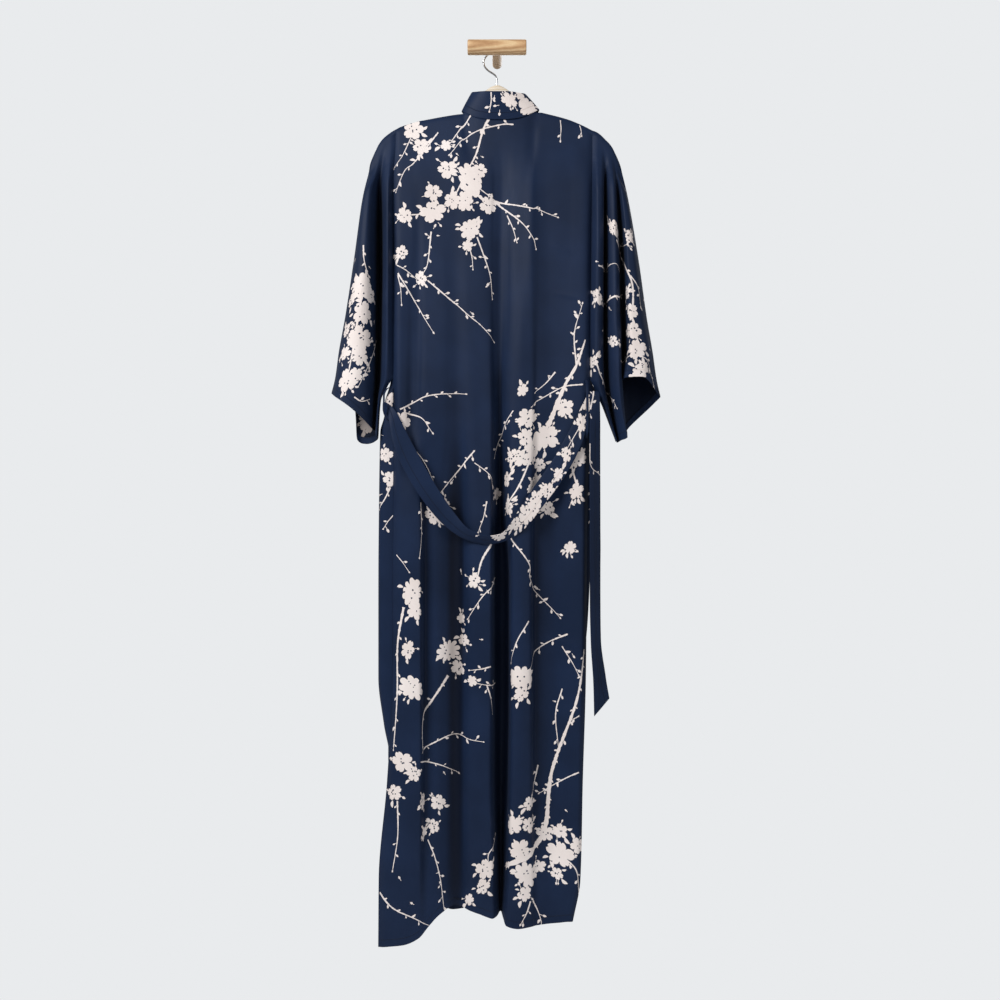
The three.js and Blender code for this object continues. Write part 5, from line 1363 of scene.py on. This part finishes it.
def settle(piece: bpy.types.Object, slot: str, *nodes: str) -> bpy.types.Object:
    """Puts a piece on the body and lets it stand for its CAD nodes."""
    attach(piece, "root")
    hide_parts(*nodes)
    mesh = piece.data
    log.info("%s: %d points, %d faces", piece.name, len(mesh.vertices), len(mesh.polygons))
    return piece


def enclosed(points: np.ndarray, outline: np.ndarray) -> np.ndarray:
    """Which points lie within an outline, by how often it winds round them."""
    start, end = outline, np.roll(outline, -1, axis=0)
    y = points[:, 1:2]
    side = ((end[:, 0] - start[:, 0]) * (y - start[:, 1])
            - (points[:, 0:1] - start[:, 0]) * (end[:, 1] - start[:, 1]))
    rising = (start[:, 1] <= y) & (end[:, 1] > y) & (side > 0)
    falling = (start[:, 1] > y) & (end[:, 1] <= y) & (side < 0)
    return rising.sum(axis=1) != falling.sum(axis=1)


def printed_cloth(name: str, sheet: Sheet, shapes: list, finishes: tuple,
                  specks: tuple | list = ()) -> bpy.types.Object:
    """A cloth's mesh with its print cut into it, so that each motif's edge is sharp.

    Args:
        name: the object's name.
        sheet: the cloth.
        shapes: the print's outlines on the bolt.
        finishes: the ground's material and the print's.
        specks: outlines that stay free of the print.
    """
    rows, columns = sheet.across.shape
    j, i = np.mgrid[0:rows, 0:columns]
    places = [np.column_stack([i.ravel(), j.ravel()]).astype(float)]
    outlines, edges = [], []
    count = rows * columns
    lo, hi = sheet.across.min(), sheet.across.max()
    inked = []
    for number, shape in enumerate([*shapes, *specks]):
        middle = shape.mean(axis=0)
        beside = lo - PRINT_MARGIN < middle[0] < hi + PRINT_MARGIN
        level = -PRINT_MARGIN < middle[1] < sheet.down.max() + PRINT_MARGIN
        if not (beside and level):
            continue
        where = sheet.index_of(shape)
        if np.ptp(where[:, 0]) < 0.05 or np.ptp(where[:, 1]) < 0.05:
            continue
        places.append(where)
        outlines.append(where)
        inked.append(number < len(shapes))
        edges += [(count + k, count + (k + 1) % len(where)) for k in range(len(where))]
        count += len(where)
    flat = np.concatenate(places)
    points, _, cut, _, _, _ = delaunay_2d_cdt([Vector(p) for p in flat.tolist()], edges, [], 0, 1e-5, False)
    place = np.array([(p[0], p[1]) for p in points])
    corners = np.array(cut)
    printed = np.zeros(len(corners), bool)
    middles = place[corners].mean(axis=1)
    for outline, ink in zip(outlines, inked):
        box = (middles >= outline.min(axis=0)).all(axis=1) & (middles <= outline.max(axis=0)).all(axis=1)
        found = np.flatnonzero(box & (printed != ink))
        printed[found[enclosed(middles[found], outline)]] = ink
    i = np.clip(place[:, 0].astype(int), 0, columns - 2)
    j = np.clip(place[:, 1].astype(int), 0, rows - 2)
    fi, fj = place[:, 0] - i, place[:, 1] - j

    def at(values: np.ndarray) -> np.ndarray:
        """The cloth's values at the cut mesh's points."""
        return sheet.sample(values, i, j, fi, fj)

    spots = at(sheet.points)
    normals = at(sheet.normals)
    normals /= np.maximum(np.linalg.norm(normals, axis=1, keepdims=True), 1e-9)
    facing = np.cross(spots[corners[:, 1]] - spots[corners[:, 0]],
                      spots[corners[:, 2]] - spots[corners[:, 0]])
    if (facing * normals[corners[:, 0]]).sum() < 0:
        corners = corners[:, ::-1]
    piece = mesh_object(name, spots, corners.tolist())
    mesh = piece.data
    for finish in finishes:
        mesh.materials.append(finish)
    mesh.polygons.foreach_set("material_index", printed.astype(np.int32))
    mesh.polygons.foreach_set("use_smooth", np.ones(len(mesh.polygons), bool))
    corner = np.zeros(len(mesh.loops), np.int32)
    mesh.loops.foreach_get("vertex_index", corner)
    bolt = np.column_stack([at(sheet.across), at(sheet.down)]) * MM
    mesh.uv_layers.new(name="bolt").data.foreach_set("uv", bolt[corner].astype(np.float32).ravel())
    edge = mesh.attributes.new("edge_mm", "FLOAT", "POINT")
    edge.data.foreach_set("value", at(sheet.edge_distance()).astype(np.float32))
    # how deep each point lies behind its folds, which sets the painted valley shade
    painted_valley_shade = mesh.attributes.new("painted_shade_valley_mm", "FLOAT", "POINT")
    painted_valley_shade.data.foreach_set("value", at(sheet.valleys(FOLD_REACH)).astype(np.float32))
    mesh.normals_split_custom_set_from_vertices(normals.tolist())
    return piece


@dataclass
class Robe:
    """The robe's cloths, from its shoulder line to its hems."""

    ground: PrintedSatin
    print_on: PrintedSatin
    finishes: tuple = field(init=False)
    sheets: dict = field(init=False, default_factory=dict)

    def __post_init__(self) -> None:
        """Makes the two finishes."""
        self.finishes = (self.ground.make(), self.print_on.make())

    def back(self) -> bpy.types.Object:
        """The back panel, one wide cloth with a shaped hem and open lower side edges."""
        guides = []
        for i, (x, y, z) in enumerate(zip(BACK_TOP["x"], BACK_TOP["y"], BACK_TOP["z"])):
            drops = BACK_DROPS if y > NECK_Y else ((8, y - 0.6), (24, y - 1.5))
            foot = (BACK_HEM["x"][i], BACK_HEM["y"][i], BACK_HEM["z"][i])
            guides.append(guide_line((x, y, z), drops, BACK_LEVELS, foot, i))
        sheet = Sheet(eased(woven(guides, steps_across=7, step_down=3.6), passes=3))
        sheet.deepen(BACK_VALLEYS, FOLD_REACH, slice(8, -8))
        sheet.groove(SEAM_GROOVE)
        sheet.ripple(11, height=1.1, count=60, half=(22, 130))
        sheet.emboss(BACK_CREASES)
        sheet.tuck(sheet.points[0, :, 1] < NECK_Y, TUCK_RISE, TUCK_BACK)
        self.sheets["back"] = sheet
        sheet.turn_in()
        design = Print(sheet, 3)
        design.place(BACK_SPRAY)
        piece = printed_cloth("robe_back", sheet, design.shapes, self.finishes, design.specks)
        return settle(piece, "robe_satin", "back")

    def front(self, side: Side) -> bpy.types.Object:
        """Makes one front panel, from the armhole and side seam to the neckband.

        Args:
            side: left or right as seen from behind.

        Returns:
            The panel's object.
        """
        table = FRONTS[side]
        top = table["top"]
        guides = [guide_line((x, HANG_Y, z), FRONT_DROPS, table["levels"], None, i)
                  for i, (x, z) in enumerate(zip(top["x"], top["z"]))]
        ripple_seed, print_seed, wild_seed = FRONT_SEEDS[side]
        points = eased(woven(guides, steps_across=5, step_down=4.0), passes=3)
        sheet = Sheet(points, turned=side is Side.LEFT)
        seam = self.sheets["back"].points[:-HEM_ROWS, 0 if side is Side.LEFT else -1]
        sheet.ripple(ripple_seed, height=1.0, count=30, half=(20, 120))
        sheet.seat(0, seam[seam[:, 2] < UNDERARM_Z[side] + 3], SEAM_REACH, back_off=0.3)
        self.sheets["front_" + side.value] = sheet
        sheet.turn_in()
        design = Print(sheet, print_seed)
        design.place(STRIP_SPRAYS[side])
        wild = Print(sheet, wild_seed)
        wild.grow(11, within=(0.12, 1.0))
        strip = sheet.across[:, 0].max() + SEEN_STRIP
        shapes = design.shapes + [s for s in wild.shapes if s[:, 0].min() > strip]
        piece = printed_cloth("robe_front_" + side.value, sheet, shapes, self.finishes, design.specks)
        return settle(piece, "robe_satin", "front_" + side.value)

    def sleeve(self, side: Side) -> bpy.types.Object:
        """Makes one sleeve, a folded cloth that is open at the armhole and the cuff.

        Args:
            side: left or right as seen from behind.

        Returns:
            The sleeve's object.
        """
        table = SLEEVES[side]
        top = table["top"]
        last = len(top["x"]) - 1
        layers = []
        for levels, foot, drops in ((table["back"], table["back_hem"], BACK_DROPS),
                                    (table["front"], table["front_hem"], FRONT_DROPS)):
            guides = []
            for i, (x, y, z) in enumerate(zip(top["x"], top["y"], top["z"])):
                hem = (foot["x"][i], foot["y"][i], foot["z"][i])
                guides.append(guide_line((x, y, z), drops if i < last else (), levels, hem, i))
            layers.append(woven(guides, steps_across=6, step_down=3.2))
        seen_layer, wall_layer = layers
        closed = seen_layer[:, 0, 2] < UNDERARM_Z[side]
        wall_layer[closed, 0] = seen_layer[closed, 0]
        wall_layer[0] = seen_layer[0]
        wall_layer[:, -1] = seen_layer[:, -1]
        ripple_seed, print_seed, wild_seed = SLEEVE_SEEDS[side]
        both = np.concatenate([seen_layer, wall_layer[:, ::-1][:, 1:]], axis=1)
        sheet = Sheet(eased(both, passes=2), turned=side is Side.LEFT)
        half = seen_layer.shape[1] - 1
        sheet.deepen(SLEEVE_VALLEYS, FOLD_REACH - 2, slice(6, half - 6))
        sheet.ripple(ripple_seed, height=0.8, count=24, half=(16, 70))
        back = self.sheets["back"].points[:-HEM_ROWS, 0 if side is Side.LEFT else -1]
        front = self.sheets["front_" + side.value].points[:-HEM_ROWS, 0]
        sheet.seat(0, back[back[:, 2] > UNDERARM_Z[side] - 2], SEAM_REACH, back_off=0.2)
        sheet.seat(-1, front[front[:, 2] > UNDERARM_Z[side] - 2], SEAM_REACH, back_off=0.2)
        sheet.turn_in(CUFF_HEM_DEPTH)
        design = Print(sheet, print_seed)
        design.place(SLEEVE_SPRAYS[side])
        wall = Print(sheet, wild_seed)
        wall.grow(9, within=(0.1, 1.0))
        middle = sheet.across[:, half].mean()
        shapes = design.shapes + [s for s in wall.shapes if s[:, 0].min() > middle + 8]
        piece = printed_cloth("robe_sleeve_" + side.value, sheet, shapes, self.finishes, design.specks)
        return settle(piece, "robe_satin", "sleeve_" + side.value)

    def neckband(self) -> bpy.types.Object:
        """The folded band round the neck and down both front edges."""
        stations = [((a + d) / 2, (b + e) / 2, (c + f) / 2, d - a, e - b, f - c)
                    for a, b, c, d, e, f in BAND_LEFT[::-1] + BAND_RIGHT]
        sheet = folded_ribbon(stations, BAND, step=3.2, around=14)
        sheet.ripple(71, height=0.5, count=40, half=(12, 60))
        design = Print(sheet, 72)
        design.place(BAND_SPRAY)
        middle = sheet.down.max() / 2
        wild = Print(sheet, 73)
        wild.grow(16)
        shapes = design.shapes + [s for s in wild.shapes if abs(s[:, 1].mean() - middle) > NECK_SHOWN]
        piece = printed_cloth("robe_neckband", sheet, shapes, self.finishes)
        return settle(piece, "robe_satin", "collar")

    def belt(self) -> bpy.types.Object:
        """The tie belt in its loops, with a swag behind and two tails."""
        sheet = folded_ribbon(BELT_LINE, SASH, step=3.0, around=14)
        sheet.ripple(81, height=0.5, count=60, half=(10, 40))
        design = Print(sheet, 82)
        design.place(BELT_SPRAY)
        piece = printed_cloth("robe_belt", sheet, design.shapes, self.finishes, design.specks)
        return settle(piece, "belt_satin", "belt")

    def loops(self) -> bpy.types.Object:
        """Both belt loops, narrow folded strips sewn to the side seams."""
        parts = []
        for side, stations in LOOPS.items():
            sheet = folded_ribbon(stations, TAPE, step=1.5, around=8)
            parts.append(printed_cloth("loop_" + side.value, sheet, [], self.finishes))
        bpy.ops.object.select_all(action="DESELECT")
        for part in parts:
            part.select_set(True)
        bpy.context.view_layer.objects.active = parts[0]
        bpy.ops.object.join()
        piece = parts[0]
        piece.name = "belt_loops"
        return settle(piece, "belt_satin", "belt_loop_left", "belt_loop_right")


def folded_ribbon(stations: list, thick: float, step: float, around: int) -> Sheet:
    """A flat cloth tube along a line: a strip folded double, with soft folded edges.

    Args:
        stations: middle point and width vector at each place.
        thick: its thickness.
        step: length of a piece of it.
        around: points round its section.
    """
    table = np.array(stations, float)
    spans = np.linalg.norm(np.diff(table[:, :3], axis=0), axis=1)
    marks = np.concatenate([[0], np.cumsum(np.maximum(spans, 0.1))])
    index = np.interp(np.linspace(0, marks[-1], round(marks[-1] / step) + 1), marks, np.arange(len(table)))
    line = monotone(np.arange(len(table)), table, index)
    middle, wide = line[:, :3], line[:, 3:]
    ahead = np.gradient(middle, axis=0)
    facing = np.cross(ahead, wide)
    facing /= np.maximum(np.linalg.norm(facing, axis=1, keepdims=True), 1e-9)
    turn = np.linspace(0, TAU, around * 2 + 1)
    across = np.sign(np.cos(turn)) * np.abs(np.cos(turn)) ** 0.75 / 2
    deep = np.sign(np.sin(turn)) * np.abs(np.sin(turn)) ** 0.5 * thick / 2
    points = middle[:, None] + wide[:, None] * across[None, :, None] + facing[:, None] * deep[None, :, None]
    sheet = Sheet(points, ring=True)
    outward = np.einsum("jik,jk->ji", sheet.normals, facing) * np.sign(deep + 1e-9)[None]
    if outward.mean() < 0:
        sheet = Sheet(points[:, ::-1], ring=True)
    sheet.folds = dict(left=0, right=around)
    return sheet


def smooth_solid(piece: bpy.types.Object, degrees: float = 35.0) -> bpy.types.Object:
    """Shades a hard piece smooth but for its sharp edges."""
    piece.data.shade_smooth()
    piece.data.set_sharp_from_angle(angle=math.radians(degrees))
    return piece


def rings_solid(name: str, rings: np.ndarray) -> bpy.types.Object:
    """A closed solid through rings of points."""
    count, around = rings.shape[:2]
    faces = []
    for j in range(count - 1):
        for i in range(around):
            a, b = j * around + i, j * around + (i + 1) % around
            faces.append((a, b, b + around, a + around))
    faces.append(tuple(range(around))[::-1])
    faces.append(tuple((count - 1) * around + i for i in range(around)))
    return mesh_object(name, rings.reshape(-1, 3), faces)


@dataclass
class Peg:
    """The wall peg: a round bar across the end of a round stem."""

    wood: bpy.types.Material
    round_steps: int = 72

    def build(self) -> list:
        """Makes the bar and the stem."""
        return [self.bar(), self.stem()]

    def turned(self, profile: list, name: str) -> bpy.types.Object:
        """A turned solid along X from its profile of distance and radius."""
        turn = np.linspace(0, TAU, self.round_steps, endpoint=False)
        rings = [np.column_stack([np.full(len(turn), d), r * np.cos(turn), r * np.sin(turn)])
                 for d, r in profile]
        piece = rings_solid(name, np.array(rings))
        piece.data.materials.append(self.wood)
        return smooth_solid(piece)

    def bar(self) -> bpy.types.Object:
        """The bar, its end edges rounded over."""
        half, r, ease = BAR_LENGTH / 2, BAR_DIAMETER / 2, 2.0
        edge = [(half - ease + ease * math.sin(a), r - ease + ease * math.cos(a))
                for a in np.linspace(0, math.pi / 2, 7)]
        straight = [(x, r) for x in np.linspace(-half + 8, half - 8, 9)]
        profile = [(-d, q) for d, q in edge[::-1]] + straight + edge
        piece = self.turned(profile, "peg_crossbar")
        for vertex in piece.data.vertices:
            vertex.co.y += BAR_Y * MM
        return settle(piece, "peg_wood", "peg_bar")

    def stem(self) -> bpy.types.Object:
        """The stem, from the wall into the bar."""
        length = -BAR_Y - BAR_DIAMETER / 2 + SOCKET - FIT_GAP
        r = STEM_DIAMETER / 2
        profile = [(0, r)] + [(x, r) for x in np.linspace(6, length - 4, 8)] + [(length, r - 0.6)]
        piece = self.turned(profile, "peg_stem_round")
        for vertex in piece.data.vertices:
            x, y, z = vertex.co
            vertex.co = (y, -x, z)
        return settle(piece, "peg_wood", "peg_stem")


@dataclass
class Hanger:
    """The coat hanger: a shaped wooden body and a steel hook."""

    wood: bpy.types.Material
    steel: bpy.types.Material

    def build(self) -> list:
        """Makes the body and the hook."""
        return [self.body(), self.hook()]

    def body(self) -> bpy.types.Object:
        """The body, lofted through rounded sections."""
        table = np.array(HANGER_SECTIONS, float)
        last = len(table) - 1
        line = monotone(np.arange(len(table)), table, np.linspace(0, last, last * 5 + 1))
        turn = np.linspace(0, TAU, 28, endpoint=False)

        def square(v: np.ndarray) -> np.ndarray:
            """Rounds a circle out towards a square."""
            return np.sign(v) * np.abs(v) ** 0.6

        rings = [np.column_stack([np.full(len(turn), x), HANG_Y + half * square(np.cos(turn)),
                                  (top + low) / 2 + (top - low) / 2 * square(np.sin(turn))])
                 for x, top, low, half in line]
        piece = rings_solid("hanger_wood_body", np.array(rings))
        piece.data.materials.append(self.wood)
        return settle(smooth_solid(piece, 50), "hanger_wood", "hanger_body")

    def hook(self) -> bpy.types.Object:
        """The hook: one bent wire over the stem and down into the body."""
        centre = STEM_DIAMETER / 2 + FIT_GAP + WIRE_DIAMETER / 2 - HOOK_RADIUS
        arc = [(HOOK_RADIUS * math.cos(math.radians(a)), centre + HOOK_RADIUS * math.sin(math.radians(a)))
               for a in range(50, 171, 10)]
        line = rounded(np.array(arc + HOOK_TAIL), 1.2)
        ahead = np.gradient(line, axis=0)
        ahead /= np.linalg.norm(ahead, axis=1, keepdims=True)
        up = np.column_stack([-ahead[:, 1], ahead[:, 0]])
        turn = np.linspace(0, TAU, 18, endpoint=False)
        radius = np.full(len(line), WIRE_DIAMETER / 2)
        radius[0], radius[1] = 0.7, 1.2
        rings = np.array([
            np.column_stack([p[0] + u[0] * r * np.sin(turn), HANG_Y + r * np.cos(turn),
                             p[1] + u[1] * r * np.sin(turn)])
            for p, u, r in zip(line, up, radius)])
        piece = rings_solid("hanger_steel_hook", rings)
        piece.data.materials.append(self.steel)
        return settle(smooth_solid(piece, 50), "steel_wire", "hanger_hook")


@dataclass
class Studio:
    """A plain pale floor, soft lights in front and behind, and a camera at the photograph's angle."""

    backdrop: str = "#E9EBED"
    floor_z: float = -1720.0
    ambient: float = 0.34

    def build(self) -> None:
        """Sets the stage."""
        self.world()
        self.floor()
        self.soft_box("key", (-1700, -1900, 900), (0, 0, -700), size=1100, watts=60)
        self.soft_box("fill", (1700, -2000, -300), (0, 0, -800), size=1400, watts=9)
        self.soft_box("rear", (300, 2200, 500), (0, 0, -700), size=1600, watts=20)
        self.camera()
        bpy.context.scene.view_settings.view_transform = "Standard"

    def world(self) -> None:
        """A pale, even surround that lights softly."""
        world = bpy.data.worlds.new("studio")
        bpy.context.scene.world = world
        world.use_nodes = True
        tree = world.node_tree
        tree.nodes.clear()
        path = add_node(tree, "ShaderNodeLightPath")
        strength = add_node(tree, "ShaderNodeMapRange", {
            "Value": path.outputs["Is Camera Ray"], "To Min": self.ambient, "To Max": 1.0})
        light = add_node(tree, "ShaderNodeBackground", {
            "Color": linear(self.backdrop), "Strength": strength.outputs[0]})
        add_node(tree, "ShaderNodeOutputWorld", {"Surface": light.outputs[0]})

    def floor(self) -> None:
        """A plain pale slab with a softened rim, below the hem."""
        wide, near, far, thick = 1800.0, -2000.0, 120.0, 20.0
        corners = [(-wide, near), (wide, near), (wide, far), (-wide, far)]
        points = np.array([(x, y, z) for z in (self.floor_z, self.floor_z - thick) for x, y in corners])
        faces = [(0, 1, 2, 3), (7, 6, 5, 4)] + [(i, i + 4, (i + 1) % 4 + 4, (i + 1) % 4) for i in range(4)]
        slab = mesh_object("studio_floor", points, faces)
        material, tree, out = blank("studio_floor_paint")
        speck = add_node(tree, "ShaderNodeTexNoise", {"Scale": 40.0})
        rough = add_node(tree, "ShaderNodeMapRange", {
            "Value": speck.outputs["Fac"], "To Min": 0.7, "To Max": 0.85})
        shader = add_node(tree, "ShaderNodeBsdfPrincipled", {
            "Base Color": linear(self.backdrop), "Roughness": rough.outputs[0]})
        tree.links.new(shader.outputs[0], out.inputs[0])
        slab.data.materials.append(material)

    def soft_box(self, name: str, place: tuple, target: tuple, size: float, watts: float) -> None:
        """A square area light.

        Args:
            name: the lamp's name.
            place: where it stands, in mm.
            target: the point that it faces, in mm.
            size: its side in mm.
            watts: its power.
        """
        data = bpy.data.lights.new(name, "AREA")
        data.size = size * MM
        data.energy = watts
        lamp = bpy.data.objects.new(name, data)
        bpy.context.scene.collection.objects.link(lamp)
        lamp.location = Vector(place) * MM
        lamp.rotation_euler = (Vector(target) - Vector(place)).to_track_quat("-Z", "Y").to_euler()

    def camera(self) -> None:
        """The camera stands level, opposite the middle of the robe."""
        data = bpy.data.cameras.new("camera")
        data.sensor_width = 36.0
        data.lens = FOCAL_PX / PICTURE_PX * data.sensor_width
        eye = bpy.data.objects.new("camera", data)
        bpy.context.scene.collection.objects.link(eye)
        eye.location = Vector(EYE) * MM
        eye.rotation_euler = (math.pi / 2, 0, 0)
        bpy.context.scene.camera = eye


def main() -> None:
    """Builds the studio, the peg, the hanger and the robe in order."""
    logging.basicConfig(level=logging.INFO, format="%(message)s")
    Studio().build()
    Peg(Beech("oiled beech", "#F0CFA0", "#DDB384", "#B5855A").make()).build()
    Hanger(Beech("varnished beech", "#FBF2E4", "#F2E4CF", "#DCC7A6").make(),
           DrawnSteel("bright drawn steel", "#C9CCD0").make()).build()
    # the third colour of each finish is its painted valley shade, and the last number is how far that painted
    # shade goes
    navy = PrintedSatin("navy satin ground", "#172846", "#11213C", "#030A1C", 0.56, 0.03, 0.88)
    cream = PrintedSatin("cream printed blossom", "#FCF1EC", "#F2E5DF", "#8A7F7A", 0.52, 0.03, 0.65)
    robe = Robe(navy, cream)
    robe.back()
    for side in Side:
        robe.front(side)
        robe.sleeve(side)
    robe.neckband()
    robe.belt()
    robe.loops()


if __name__ == "__main__":
    main()
